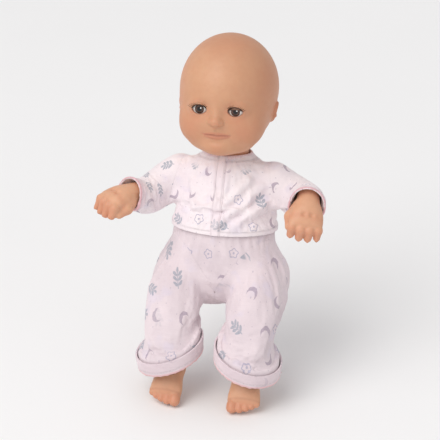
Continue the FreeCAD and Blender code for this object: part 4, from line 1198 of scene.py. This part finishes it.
for s, side in ((1, "left"), (-1, "right")):
    w = A(*ARM[s][3])
    lo = np.minimum(np.minimum(S_[s], w), TIP[s]) - 16
    hi = np.maximum(np.maximum(S_[s], w), TIP[s]) + 16
    # the arm's upper end is out of sight in the sleeve, and stops short of the seam that turns with it
    cut, pts = int((0.6 if s > 0 else 0.76) * len(ARM_PTS[s][0])), ARM_PTS[s][0]
    way = unit(pts[cut + 1] - pts[cut])
    v, f = skin(lambda p: smax(arm_form(p, s), (pts[cut] - p) @ way, 4.0), lo, hi, 0.85)
    ob = make("doll_arm_" + side, v, f)
    o, d, sd, nr = hand_axes(s)
    t = (v - o) @ d / HAND
    # redder toward the fingertips, over the knuckles and at the wrist
    tint(ob, "blush", np.clip(0.75 * smoothstep(19, 26, t) + 0.45 * gauss(t - 16, 3.0) + 0.35 * gauss(t + 1, 2.5), 0, 1))
    ob.data.materials.append(vinyl("vinyl_arm_" + side))
    tint(ob, "lip", np.zeros(len(v)))
    # painted shade in the wrist fold
    tint(ob, "crease", 0.35 * gauss(t + 1.6, 0.9))
    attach(ob, "arm_%s_body" % side)
    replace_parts(ob, "arm_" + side)

    a = LEG[s][3]
    lo = np.minimum(np.minimum(LEG[s][0], a), TOE[s]) - 22
    hi = np.maximum(np.maximum(LEG[s][0], a), TOE[s]) + 22
    v, f = skin(lambda p: leg_form(p, s), lo, hi, 0.9)
    ob = make("doll_leg_" + side, v, f)
    o, d, sd, nr = foot_axes(s)
    t = (v - o) @ d
    low = v[:, 2] < -36
    # blush paint at the toes and heel
    tint(ob, "blush", np.clip(low * (0.8 * smoothstep(20, 27, t) + 0.55 * smoothstep(-4, -9, t)), 0, 1))
    tint(ob, "lip", np.zeros(len(v)))
    # painted shade in the crease at the roots of the toes
    tint(ob, "crease", low * 0.3 * gauss(t - 21.5, 0.8))
    ob.data.materials.append(vinyl("vinyl_leg_" + side))
    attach(ob, "leg_%s_body" % side)
    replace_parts(ob, "leg_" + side)

# ------------------------------------------------------------------ eyes


def eye_look(name, lid_deg, lid_low, lid_high):
    k = Look(name)
    o = k.coord()
    ang, el, az = k.attr("ang"), k.attr("el"), k.attr("az")
    iris = k.mix(ang.step(9.0, 23.0), lin(60, 36, 26), lin(92, 62, 50))
    spokes = k.noise(k.join(az.op("COSINE") * 3.0, az.op("SINE") * 3.0, ang * 0.02), 3.2, 4, 0.7)
    iris = k.mix(spokes.step(0.45, 0.7) * 0.45, iris, lin(104, 82, 70))
    iris = k.mix(ang.step(19.0, 23.0) * 0.9, iris, lin(34, 22, 20))
    iris = k.mix(ang.step(11.5, 10.0), iris, lin(8, 6, 7))
    white = k.mix(k.noise(o, 300, 3) * 0.3, lin(236, 232, 226), lin(220, 206, 198))
    c = k.mix(ang.step(23.4, 24.6), iris, white)
    # painted highlight: a small white catchlight spot on the iris
    cx, cz = ang * az.op("COSINE") - 7.5, ang * az.op("SINE") - 6.5
    c = k.mix((cx * cx + cz * cz).op("SQRT").step(4.0, 3.0), c, lin(250, 248, 246))
    edge = (el + (az.op("COSINE").op("ABSOLUTE") * ang).op("POWER", 2.0) * 0.004)
    lid = edge.step(lid_deg - 0.5, lid_deg + 0.5)
    skin_c = k.mix(k.noise(o, 260, 3).step(0.35, 0.75) * 0.3, lid_low, lid_high)
    c = k.mix(lid, c, skin_c)
    line = (edge - lid_deg).op("ABSOLUTE").step(3.4, 1.4)
    c = k.mix(line * 0.9, c, lin(64, 44, 36))
    k.colour(c).put(rough=lid * 0.2 + 0.24, spec=0.4, coat=0.22, coat_rough=0.12)
    k.bump(k.noise(o, 900, 2), 0.00001)
    return k.m


def eyeball(name, s, lid_deg, *lid):
    n, m, r = 96, 64, 8.5
    th = np.linspace(0, math.pi, m + 1)[1:-1]
    ph = np.arange(n) * 2 * math.pi / n
    T, P_ = np.meshgrid(th, ph, indexing="ij")
    x, y, z = np.sin(T) * np.cos(P_), -np.cos(T), np.sin(T) * np.sin(P_)
    v = np.concatenate([np.stack([x, y, z], -1).reshape(-1, 3), [[0, -1, 0], [0, 1, 0]]])
    a, b = (m - 1) * n, (m - 1) * n + 1
    f = []
    for i in range(m - 2):
        for j in range(n):
            k2 = (j + 1) % n
            f.append((i * n + j, i * n + k2, (i + 1) * n + k2, (i + 1) * n + j))
    f += [(j, a, (j + 1) % n) for j in range(n)]
    f += [((m - 2) * n + (j + 1) % n, b, (m - 2) * n + j) for j in range(n)]
    ang = np.degrees(np.arccos(np.clip(-v[:, 1], -1, 1)))
    el = np.degrees(np.arctan2(v[:, 2], -v[:, 1] + 1e-9))
    el = np.where(v[:, 1] > 0, 90.0 * np.sign(v[:, 2] + 1e-9), el)
    lift = 0.10 * smoothstep(lid_deg - 1, lid_deg + 1, el)
    # a moulded rim round the iris
    lift = lift + 0.06 * gauss(ang - 24.0, 1.2)
    # gaze slightly down, as the doll leans back
    g = -NOD + math.radians(1.0)
    v = v * (r - 0.1 + lift)[:, None]
    w = v.copy()
    w[:, 1], w[:, 2] = v[:, 1] * math.cos(g) - v[:, 2] * math.sin(-g), v[:, 2] * math.cos(g) + v[:, 1] * math.sin(-g)
    ob = make(name, to_row(w + EYE[s] + HC), f)
    tint(ob, "ang", ang)
    tint(ob, "el", el)
    tint(ob, "az", np.arctan2(v[:, 2], v[:, 0]))
    ob.data.materials.append(eye_look(name + "_look", lid_deg, *lid))
    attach(ob, "eyes")
    return ob


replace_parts(eyeball("doll_eye_right", -1, 25.0, lin(182, 134, 104), lin(166, 118, 90)), "eye_right")
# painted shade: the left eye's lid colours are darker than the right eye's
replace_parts(eyeball("doll_eye_left", 1, 10.5, lin(156, 114, 88), lin(138, 98, 74)), "eye_left")


def hair_tube(path, radii, sides=6):
    v, f = [], []
    path = np.asarray(path)
    for i, (p, r) in enumerate(zip(path, radii)):
        t = unit(path[min(i + 1, len(path) - 1)] - path[max(i - 1, 0)])
        a = unit(np.cross(t, A(0.3, 0.2, 1)))
        b = np.cross(t, a)
        for k in range(sides):
            c = 2 * math.pi * k / sides
            v.append(p + a * r * math.cos(c) + b * r * math.sin(c))
    for i in range(len(path) - 1):
        for k in range(sides):
            k2 = (k + 1) % sides
            f.append((i * sides + k, i * sides + k2, (i + 1) * sides + k2, (i + 1) * sides + k))
    f.append(tuple(range(sides))[::-1])
    f.append(tuple((len(path) - 1) * sides + k for k in range(sides)))
    return v, f


def lashes(name, s, length, reach):
    """A row of curved lashes set in the rim of the upper lid, on a thin strip."""
    rng = np.random.RandomState(7 if s > 0 else 11)
    V_, F_ = [], []
    strip = []
    w, hu = 5.8, 3.75
    ru = (w * w + hu * hu) / (2 * hu)

    def rim_at(x):
        z = math.sqrt(max(ru * ru - x * x, 0)) - ru + hu
        y = -math.sqrt(max(10.15 ** 2 - x * x - z * z, 0.1))
        return A(x, y, z)

    for x in np.linspace(-5.4, 5.4, 24):
        strip.append(rim_at(x) + A(0, 0.45, -0.12))
    v, f = hair_tube(strip, [0.1] + [0.24] * 22 + [0.1])
    V_ += v
    F_ += f
    for i, x in enumerate(np.linspace(-5.1, 5.1, reach)):
        p0 = rim_at(x) + A(0, 0.35, -0.15)
        out = x * s / 5.3
        ln = length * (0.75 + 0.35 * max(out, 0)) * (0.9 + 0.2 * rng.rand())
        way = unit(A(x * 0.24 + s * 0.25 * max(out, 0) + 0.08 * (rng.rand() - 0.5), -1.0, 0.35))
        up = A(x * 0.10, 0.05, 0.9)
        path = [p0 + way * ln * t + up * ln * 0.62 * t * t for t in (0, 0.3, 0.6, 0.85, 1.0)]
        n0 = len(V_)
        v, f = hair_tube(path, [0.21, 0.2, 0.16, 0.1, 0.04], 5)
        V_ += v
        F_ += [tuple(j + n0 for j in q_) for q_ in f]
    V_ = np.array(V_)
    ob = make(name, to_row(nod(V_ + EYE[s]) + HC), F_)
    k = Look(name + "_look")
    o = k.coord()
    k.colour(k.mix(k.noise(o, 900, 2), lin(28, 18, 16), lin(56, 38, 30))).put(rough=k.noise(o, 1200, 2) * 0.2 + 0.4, spec=0.4)
    k.bump(k.noise(o, 2500, 2), 0.00002)
    ob.data.materials.append(k.m)
    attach(ob, "head")
    return ob


lashes("lashes_right", -1, 2.9, 14)
lashes("lashes_left", 1, 2.4, 14)

# ------------------------------------------------------------------ clothes


def plane_gap(rest, planes):
    d = np.full(len(rest), 99.0)
    for o, n, mask in planes:
        g = -(rest - o) @ np.asarray(n, float)
        d = np.where(mask(rest), np.minimum(d, np.maximum(g, 0)), d)
    return d


SH_PLANES = [(to_row(A(0, 0, NECK_UP)), UPWARD, lambda r: (np.abs(r[:, 0]) < 30) & (r[:, 2] > 90)), (to_row(A(0, 0, HEM_UP)), -UPWARD, lambda r: np.abs(r[:, 0]) < 46)]
for _s in (1, -1):
    SH_PLANES.append(sleeve_hem(_s) + ((lambda r, s=_s: (r[:, 0] * s > 44) & (r[:, 1] < 6)),))
TR_PLANES = [(to_row(A(0, 0, WAIST_UP)), UPWARD, lambda r: r[:, 2] > 30)]
for _s in (1, -1):
    TR_PLANES.append(trouser_hem(_s) + ((lambda r, s=_s: (r[:, 0] * s > 0) & (r[:, 2] < -5)),))


def garment(form, lo, hi, h, cutter, extra_pin, grow, most, frames, fall, bend):
    """A garment's cloth: points, faces and rest places after draping."""
    v, f = skin(form, lo, hi, h)
    bm = cutter(bm_new(v, f))
    bmesh.ops.delete(bm, geom=[x for x in bm.verts if not x.link_faces], context="VERTS")
    pin = np.zeros(len(bm.verts))
    bm.verts.index_update()
    for x in rim_loops(bm):
        pin[x.index] = 1
    v, f = bm_arrays(bm)
    bm.free()
    pin = np.maximum(pin, extra_pin(v))
    w = drape(v, f, pin, BODY, frames, grow, fall, bend)
    w = cap_move(v, w, most)
    return w, f, v


BODY = skin(body_form, (-92, -80, -60), (92, 40, 116), 2.6)
shirt_v, shirt_f, shirt_rest = garment(shirt_form, (-84, -50, 30), (88, 52, 132), 1.6, cut_shirt,
                                       lambda v: 0.75 * smoothstep(7, 1, plane_gap(v, SH_PLANES)), 0.075, 6.5, 24, 0.3, 0.22)
pants_v, pants_f, pants_rest = garment(trouser_form, (-62, -92, -64), (62, 52, 92), 1.75, cut_trousers,
                                       lambda v: np.maximum(0.9 * ((v[:, 2] < 1.4) & (v[:, 1] > -16)), 0.97 * smoothstep(17, 9, plane_gap(v, TR_PLANES[1:]))),
                                       0.07, 6.0, 24, 0.25, 0.25)


def evened(v, w, faces, rounds, keep=0.0):
    """w with its step from v evened out over the mesh's neighbours."""
    a, b = np.array(sorted({(min(p, q), max(p, q)) for x in faces for p, q in zip(x, x[1:] + x[:1])})).T
    n = np.bincount(a, minlength=len(v)) + np.bincount(b, minlength=len(v))
    d = w - v
    for _ in range(rounds):
        t = np.zeros_like(d)
        for c in range(3):
            t[:, c] = np.bincount(a, d[b, c], len(v)) + np.bincount(b, d[a, c], len(v))
        t /= np.maximum(n, 1)[:, None]
        d = d * (0.35 + 0.65 * keep) + t * 0.65 * (1 - keep)
    return v + d


# stay outside the skin, above the seat and clear of each other
def under_shirt(p):
    return np.minimum(body_form(p), trouser_form(p) - 1.0 + 90 * smoothstep(44, 52, to_trunk(p)[:, 2]))


shirt_v = evened(shirt_v, clear_of(under_shirt, shirt_v, 2.2), shirt_f, 30)
shirt_v = clear_of(under_shirt, shirt_v, 0.8)
pants_v = clear_of(body_form, pants_v, 1.5)
sat = pants_v[:, 1] > -26
pants_v[sat, 2] = np.maximum(pants_v[sat, 2], 0.35)
away = slope(shirt_form, shirt_rest, 0.4)
away /= np.maximum(np.linalg.norm(away, axis=-1, keepdims=True), 1e-9)
shirt_v = shirt_v + away * folds(shirt_rest)[:, None] * smoothstep(1, 8, plane_gap(shirt_rest, SH_PLANES))[:, None]
pants_v = clear_of(body_form, pants_v, 1.5)
sat = pants_v[:, 1] > -26
pants_v[sat, 2] = np.maximum(pants_v[sat, 2], 0.35)


def cloth_mesh(v, f, rest, edge):
    """Subdivides once, carrying rest places and the distance to the nearest hem."""
    me = bpy.data.meshes.new("cloth_work")
    me.from_pydata(v.tolist(), [], [list(x) for x in f])
    a = me.attributes.new("rest", "FLOAT_VECTOR", "POINT")
    a.data.foreach_set("vector", rest.astype(np.float32).ravel())
    b = me.attributes.new("edge", "FLOAT", "POINT")
    b.data.foreach_set("value", edge.astype(np.float32))
    ob = bpy.data.objects.new("cloth_work", me)
    bpy.context.scene.collection.objects.link(ob)
    m = ob.modifiers.new("s", "SUBSURF")
    m.levels = m.render_levels = 1
    dg = bpy.context.evaluated_depsgraph_get()
    out = bpy.data.meshes.new_from_object(ob.evaluated_get(dg))
    bpy.data.objects.remove(ob)
    bpy.data.meshes.remove(me)
    return out


shirt_me = cloth_mesh(shirt_v, shirt_f, shirt_rest, plane_gap(shirt_rest, SH_PLANES))
pants_me = cloth_mesh(pants_v, pants_f, pants_rest, plane_gap(pants_rest, TR_PLANES))


def around(kind, s, rest):
    """Flat coordinates on the cloth: angle and its radius, and height or length along the limb."""
    if kind == "trunk":
        q_ = to_trunk(rest)
        return np.arctan2(q_[:, 0], -q_[:, 1]), 35.0, q_[:, 2]
    pts, u, ln = (SLEEVE if kind == "sleeve" else TROUSER)[s]
    along, c, tg = on_curve(rest, pts)
    ref = A(0, 0, 1) if kind == "sleeve" else A(s, 0.0, 0.0)
    e1 = ref - tg * (tg @ ref)[:, None]
    e1 /= np.linalg.norm(e1, axis=-1, keepdims=True)
    e2 = np.cross(tg, e1)
    r = rest - c
    before = (rest - pts[0]) @ unit(pts[1] - pts[0])
    along = np.where(along < 0.05, np.minimum(before, 0), along)
    return np.arctan2((r * e2).sum(-1), (r * e1).sum(-1)), (14.8 if kind == "sleeve" else 21.5), -along


def piece(name, me, cuts, kind, s, look, thick=0.8, lift=None, edge=None, uv_shift=(0.0, 0.0), smooth_cut=True):
    """One sewn piece: cut from a cloth mesh by planes (point, normal to the dropped side, region), lifted along its
    normals, given the print map and a thickness."""
    bm = bmesh.new()
    bm.from_mesh(me)
    trim(bm, cuts)
    bmesh.ops.delete(bm, geom=[x for x in bm.verts if not x.link_faces], context="VERTS")
    bm.normal_update()
    lr, le = bm.verts.layers.float_vector["rest"], bm.verts.layers.float["edge"]
    rest = np.array([x[lr][:] for x in bm.verts]).reshape(-1, 3)
    bm.verts.index_update()
    if lift is not None:
        up = lift(rest) if callable(lift) else np.full(len(rest), lift)
        nr = [x.normal.copy() for x in bm.verts]
        for x, n, h in zip(bm.verts, nr, up):
            x.co += n * float(h)
    if edge is not None:
        for x, e in zip(bm.verts, edge(rest)):
            x[le] = float(e)
    th, R, h = around(kind, s, rest)
    uvl = bm.loops.layers.uv.new("Print")
    for q_ in bm.faces:
        ts = [th[l.vert.index] for l in q_.loops]
        wrap = max(ts) - min(ts) > math.pi
        for l, t in zip(q_.loops, ts):
            if wrap and t < 0:
                t += 2 * math.pi
            l[uvl].uv = (t * R + uv_shift[0] + 400, h[l.vert.index] + uv_shift[1] + 400)
    out = bpy.data.meshes.new(name)
    bm.to_mesh(out)
    bm.free()
    out.transform(Matrix.Scale(0.001, 4))
    out.polygons.foreach_set("use_smooth", [True] * len(out.polygons))
    ob = bpy.data.objects.new(name, out)
    bpy.context.scene.collection.objects.link(ob)
    m = ob.modifiers.new("t", "SOLIDIFY")
    m.thickness = thick * 0.001
    m.offset = -1.0
    m.use_even_offset = False
    dg = bpy.context.evaluated_depsgraph_get()
    full = bpy.data.meshes.new_from_object(ob.evaluated_get(dg))
    ob.modifiers.clear()
    ob.data = full
    bpy.data.meshes.remove(out)
    full.name = name
    ob.data.materials.clear()
    ob.data.materials.append(look)
    return ob


def unprinted(ob, how):
    """Leaves the motifs out where the map would stretch them: under the seat and on top of the shoulders."""
    r = np.zeros(len(ob.data.vertices) * 3)
    ob.data.attributes["rest"].data.foreach_get("vector", r)
    tint(ob, "bare", how(r.reshape(-1, 3)))


def crotch(r):
    return smoothstep(19, 14, np.abs(r[:, 0])) * smoothstep(30, 24, r[:, 2]) * smoothstep(-50, -40, r[:, 1])


WHITE, WHITE2 = lin(244, 233, 235), lin(238, 226, 231)
# painted shade: the trousers and waistband are the shirt's white fabric made darker, as if in shade
SHADED_WHITE, SHADED_WHITE2 = lin(229, 214, 218), lin(220, 205, 210)
PINK = lin(226, 178, 184)
shirt_look = jersey("shirt_cloth", WHITE, WHITE2, 1.0)
sleeve_look = jersey("sleeve_cloth", WHITE, WHITE2, 1.0)
pants_look = jersey("trouser_cloth", SHADED_WHITE, SHADED_WHITE2, 0.95)
hem_look = jersey("hem_cloth", lin(240, 222, 226), lin(234, 214, 219), 0.4, edge_colour=PINK)
cuff_look = jersey("cuff_cloth", lin(230, 213, 218), lin(221, 203, 209), 0.35, edge_colour=lin(232, 188, 190))
placket_look = jersey("placket_cloth", lin(243, 230, 233), lin(238, 224, 229), 0.6, at=0.9)
belt_look = jersey("waistband_cloth", SHADED_WHITE, SHADED_WHITE2, 0.3, print_on=False, rib=True, at=1.2)
collar_look = jersey("collar_rib", lin(240, 219, 223), lin(233, 208, 213), 0.3, print_on=False, rib=True, stitch=False)

AX = {s: to_row(A(s * math.cos(math.radians(15)), 0, math.sin(math.radians(15)))) - to_row(A(0, 0, 0)) for s in (1, -1)}
SEAM = {s: S_[s] + AX[s] * 0.5 for s in (1, -1)}
arm_cut = [(tuple(SEAM[s]), tuple(AX[s]), lambda c, s=s: c.x * s > 20) for s in (1, -1)]
body_piece = piece("shirt_front_back", shirt_me, arm_cut, "trunk", 0, shirt_look)
unprinted(body_piece, lambda r: smoothstep(79, 84, to_trunk(r)[:, 2]))
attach(body_piece, "torso")
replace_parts(body_piece, "shirt_body")

HIP_P = {s: A(18 * s, -5, 20) for s in (1, -1)}
HIP_N = {s: unit(A(0.75 * s, -0.5, -0.43)) for s in (1, -1)}
for s, side in ((1, "left"), (-1, "right")):
    far = [(tuple(SEAM[s]), tuple(-AX[s]), None)]
    ob = piece("pyjama_sleeve_" + side, shirt_me, far, "sleeve", s, sleeve_look, uv_shift=(7.0 * s, 3.0))
    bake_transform(ob, "torso", "arm_%s_body" % side, tuple(SEAM[s] * 0.001), tuple((SEAM[s] + AX[s] * 16) * 0.001))
    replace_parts(ob, "sleeve_" + side)
    o, d = sleeve_hem(s)
    band = piece("sleeve_hem_" + side, shirt_me, [(tuple(SEAM[s]), tuple(-AX[s]), None), (tuple(o - d * 6.0), tuple(-d), None)], "sleeve", s, hem_look,
                 thick=1.1, lift=0.75, uv_shift=(2.0, 5.0))
    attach(band, "arm_%s_body" % side)
    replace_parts(band, "sleeve_cuff_" + side)

    far = [(tuple(HIP_P[s]), tuple(-HIP_N[s]), None), ((0, 0, 0), (-s, 0, 0), None)]
    ob = piece("pyjama_leg_" + side, pants_me, far, "leg", s, pants_look, uv_shift=(5.0 * s, 8.0))
    unprinted(ob, crotch)
    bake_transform(ob, "torso", "leg_%s_body" % side, tuple(HIP_P[s] * 0.001), tuple((HIP_P[s] + HIP_N[s] * 22) * 0.001))
    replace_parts(ob, "trouser_leg_" + side)
    o, d = trouser_hem(s)
    gap = lambda r, o=o, d=d: -(r - o) @ d
    cuff = piece("trouser_turnup_" + side, pants_me, [(tuple(o - d * 10.5), tuple(-d), None), ((0, 0, 0), (-s, 0, 0), None), ((0, 0, -5), (0, 0, 1), None)], "leg", s, cuff_look,
                 thick=1.3, lift=lambda r, g=gap: 1.3 + 0.9 * smoothstep(0, 11, g(r)), uv_shift=(9.0, 2.0))
    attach(cuff, "leg_%s_body" % side)
    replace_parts(cuff, "trouser_cuff_" + side)

seat_cut = [(tuple(HIP_P[s]), tuple(HIP_N[s]), lambda c, s=s: c.x * s > 0.01) for s in (1, -1)]
seat = piece("pyjama_seat", pants_me, seat_cut, "trunk", 0, pants_look)
unprinted(seat, lambda r: np.maximum(smoothstep(12, 6, r[:, 2]), crotch(r)))
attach(seat, "torso")
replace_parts(seat, "trouser_seat")
belt = piece("pyjama_waistband", pants_me, [(tuple(to_row(A(0, 0, WAIST_UP - 7.5))), tuple(-UPWARD), None)], "trunk", 0, belt_look, thick=1.2, lift=0.55)
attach(belt, "torso")
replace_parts(belt, "waistband")


def strip_cuts(half, back):
    y = (0, -1, 0) if back else (0, 1, 0)
    return [((half, 0, 0), (1, 0, 0), None), ((-half, 0, 0), (-1, 0, 0), None), ((0, 8 if not back else 16, 70), y, None)]


plk = piece("shirt_placket", shirt_me, strip_cuts(3.6, False), "trunk", 0, placket_look, thick=0.8, lift=0.6, edge=lambda r: 3.6 - np.abs(r[:, 0]), uv_shift=(3.0, 1.0))
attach(plk, "torso")
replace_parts(plk, "front_placket")
lo_z, hi_z = to_row(A(0, 0, 44)), to_row(A(0, 0, 80))
tape_look = jersey("fastener_look", lin(240, 236, 236), lin(230, 224, 226), 0.0, print_on=False, at=1.0)
bk = piece("shirt_back_fastener", shirt_me, strip_cuts(6.0, True) + [(tuple(lo_z), tuple(-UPWARD), None), (tuple(hi_z), tuple(UPWARD), None)], "trunk", 0, tape_look,
           thick=1.0, lift=0.8, edge=lambda r: 6.0 - np.abs(r[:, 0]))
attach(bk, "torso")
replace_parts(bk, "back_fastener")

# collar: a folded rib round the neck
prof = [(19.6, 87.0), (19.5, 88.4), (19.15, 89.8), (18.7, 90.8), (18.1, 91.4), (17.4, 91.3), (17.05, 90.6), (16.95, 89.4), (16.95, 88.0), (17.2, 87.0), (18.2, 86.7)]
n, mm = 144, len(prof)
V_, U_, E_ = [], [], []
for i in range(n):
    t = 2 * math.pi * i / n
    for r, z in prof:
        dip = -0.7 * math.exp(-(((t - math.pi * 1.5)) / 0.5) ** 2)
        wob = 0.12 * math.sin(5 * t + 1) + 0.08 * math.sin(11 * t)
        V_.append(((r + wob) * math.cos(t), 0.3 + (r + wob) * math.sin(t), z + dip + 0.15 * math.sin(3 * t)))
F_ = [(i * mm + j, ((i + 1) % n) * mm + j, ((i + 1) % n) * mm + (j + 1) % mm, i * mm + (j + 1) % mm) for i in range(n) for j in range(mm)]
collar = make("shirt_collar", to_row(np.array(V_)), F_)
uvl = collar.data.uv_layers.new(name="Print")
for p_ in collar.data.polygons:
    for li in p_.loop_indices:
        vi = collar.data.loops[li].vertex_index
        i, j = divmod(vi, mm)
        if i == 0 and p_.vertices[0] // mm == n - 1:
            i = n
        uvl.data[li].uv = (i * 18 * 2 * math.pi / n, j * 0.9)
a_ = collar.data.attributes.new("rest", "FLOAT_VECTOR", "POINT")
a_.data.foreach_set("vector", (points_of(collar)).astype(np.float32).ravel())
collar.data.materials.append(collar_look)
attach(collar, "torso")
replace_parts(collar, "collar_band")

# ------------------------------------------------------------------ finishes on the inner parts


def moulded(name, col, col2, rough=0.45, grain=0.00006, metal=0.0, scratch=False):
    k = Look(name)
    o = k.coord()
    c = k.mix(k.noise(o, 45, 3).step(0.35, 0.7), col, col2)
    c = k.mix(k.cells(o, 900).step(0.3, 0.7) * 0.12, c, tuple(x * 0.8 for x in col[:3]) + (1,))
    k.colour(c).put(rough=k.noise(o, 320, 3) * 0.16 + (rough - 0.08), metal=metal, spec=0.45)
    if scratch:
        k.bump(k.noise(k.scaled(o, (200, 3000, 200)), 1.0, 3), grain)
    else:
        k.bump(k.noise(o, 1800, 3, 0.6), grain)
    return k.m


FINISH = {
    "skin_vinyl": lambda: vinyl("vinyl_inner"),
    "body_plastic": lambda: moulded("body_abs", lin(226, 186, 162), lin(220, 178, 152)),
    "grey_plastic": lambda: moulded("grey_abs", lin(150, 150, 154), lin(138, 138, 142)),
    "black_resin": lambda: moulded("black_epoxy", lin(30, 30, 32), lin(40, 39, 40), 0.5),
    "button_pink": lambda: moulded("pink_abs", lin(232, 150, 170), lin(224, 140, 162), 0.35),
    "eye_gloss": lambda: moulded("eye_acrylic", lin(236, 232, 226), lin(226, 220, 214), 0.12),
    "screw_steel": lambda: moulded("zinc_steel", lin(176, 178, 182), lin(158, 160, 166), 0.32, 0.00003, 1.0, True),
    "contact_metal": lambda: moulded("nickel_strip", lin(196, 190, 176), lin(182, 176, 160), 0.28, 0.00003, 1.0, True),
    "magnet": lambda: moulded("magnet_nickel", lin(120, 122, 128), lin(104, 106, 112), 0.3, 0.00003, 1.0, True),
    "cell_jacket": lambda: moulded("cell_wrap", lin(72, 84, 104), lin(62, 74, 94), 0.3),
    "board_green": lambda: moulded("board_mask", lin(28, 96, 62), lin(22, 82, 52), 0.35),
    "black_cone": lambda: moulded("cone_paper", lin(44, 42, 42), lin(58, 55, 54), 0.8, 0.0001),
    "lead_red": lambda: moulded("lead_red", lin(186, 36, 34), lin(170, 28, 28), 0.4),
    "lead_black": lambda: moulded("lead_black", lin(34, 34, 36), lin(46, 45, 46), 0.4),
    "shirt_cotton": lambda: moulded("shirt_inner", lin(242, 230, 232), lin(236, 222, 226), 0.85),
    # painted shade: the same white cotton as the shirt, made darker
    "trouser_cotton": lambda: moulded("trouser_inner", lin(214, 200, 203), lin(206, 190, 194), 0.85),
    "cuff_cotton": lambda: moulded("cuff_inner", lin(224, 196, 200), lin(216, 186, 190), 0.85),
    "fastener_tape": lambda: moulded("tape_inner", lin(238, 234, 234), lin(228, 222, 224), 0.85),
}
made = {}
slot_of = {}
for m_ in frame["record"].get("materials", []):
    for n_ in m_.get("nodes", []) or []:
        slot_of[n_] = m_.get("slot")
for n_, ob in NODES.items():
    for ms in ob.material_slots:
        key = slot_of.get(n_) or (ms.material.name.split(".")[0] if ms.material else "body_plastic")
        if key not in FINISH:
            key = next((x for x in FINISH if ms.material and x in ms.material.name), "body_plastic")
        if key not in made:
            made[key] = FINISH[key]()
        ms.material = made[key]

# ------------------------------------------------------------------ room, lights, camera

FLOOR = min(cad_lo.z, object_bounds()[0].z) - 0.0004
floor = make("floor", np.array([(-3000, -3000, 0), (3000, -3000, 0), (3000, 3000, 0), (-3000, 3000, 0)]) + A(0, 0, FLOOR * 1000), [(0, 1, 2, 3)], False)
k = Look("floor_pale")
o = k.coord()
k.colour(k.mix(k.noise(o, 3.0, 2), lin(246, 245, 245), lin(242, 241, 241))).put(rough=0.7, spec=0.2)
k.bump(k.noise(o, 220, 3), 0.00005)
floor.data.materials.append(k.m)

sc = bpy.context.scene
sc.view_settings.view_transform = "Standard"
world = bpy.data.worlds.new("room")
sc.world = world
world.use_nodes = True
bg = world.node_tree.nodes["Background"]
bg.inputs[0].default_value = (0.97, 0.975, 0.985, 1)
bg.inputs[1].default_value = 0.62


def lamp(name, place, aim, size, power, tone=(1, 1, 1)):
    l = bpy.data.lights.new(name, "AREA")
    l.shape = "SQUARE"
    l.size, l.energy, l.color = size, power, tone
    ob = bpy.data.objects.new(name, l)
    ob.location = place
    ob.rotation_euler = (Vector(place) - Vector(aim)).to_track_quat("Z", "Y").to_euler()
    sc.collection.objects.link(ob)


AIM = (0, -0.02, 0.08)
sky = bpy.data.lights.new("soft_sky", "SUN")
sky.energy, sky.angle, sky.color = 1.3, math.radians(48), (1, 0.99, 0.975)
sky_ob = bpy.data.objects.new("soft_sky", sky)
sky_ob.rotation_euler = Vector((-0.42, -0.62, 1.0)).to_track_quat("Z", "Y").to_euler()
sc.collection.objects.link(sky_ob)
lamp("key", (-0.5, -0.95, 0.85), AIM, 0.5, 2.4, (1, 0.985, 0.965))
lamp("fill", (0.95, -0.7, 0.3), AIM, 0.9, 0.8, (0.97, 0.985, 1))

az, el = math.radians(13.0), math.radians(25.0)
back = Vector((math.sin(az) * math.cos(el), -math.cos(az) * math.cos(el), math.sin(el)))
cam_data = bpy.data.cameras.new("view")
cam_data.lens = 135
cam_data.sensor_width = 36
cam = bpy.data.objects.new("view", cam_data)
sc.collection.objects.link(cam)
centre = Vector((0.0, -0.01, 0.068))
cam.location = centre + back * 1.24
cam.rotation_euler = back.to_track_quat("Z", "Y").to_euler()
cam_data.clip_start, cam_data.clip_end = 0.01, 20
sc.camera = cam
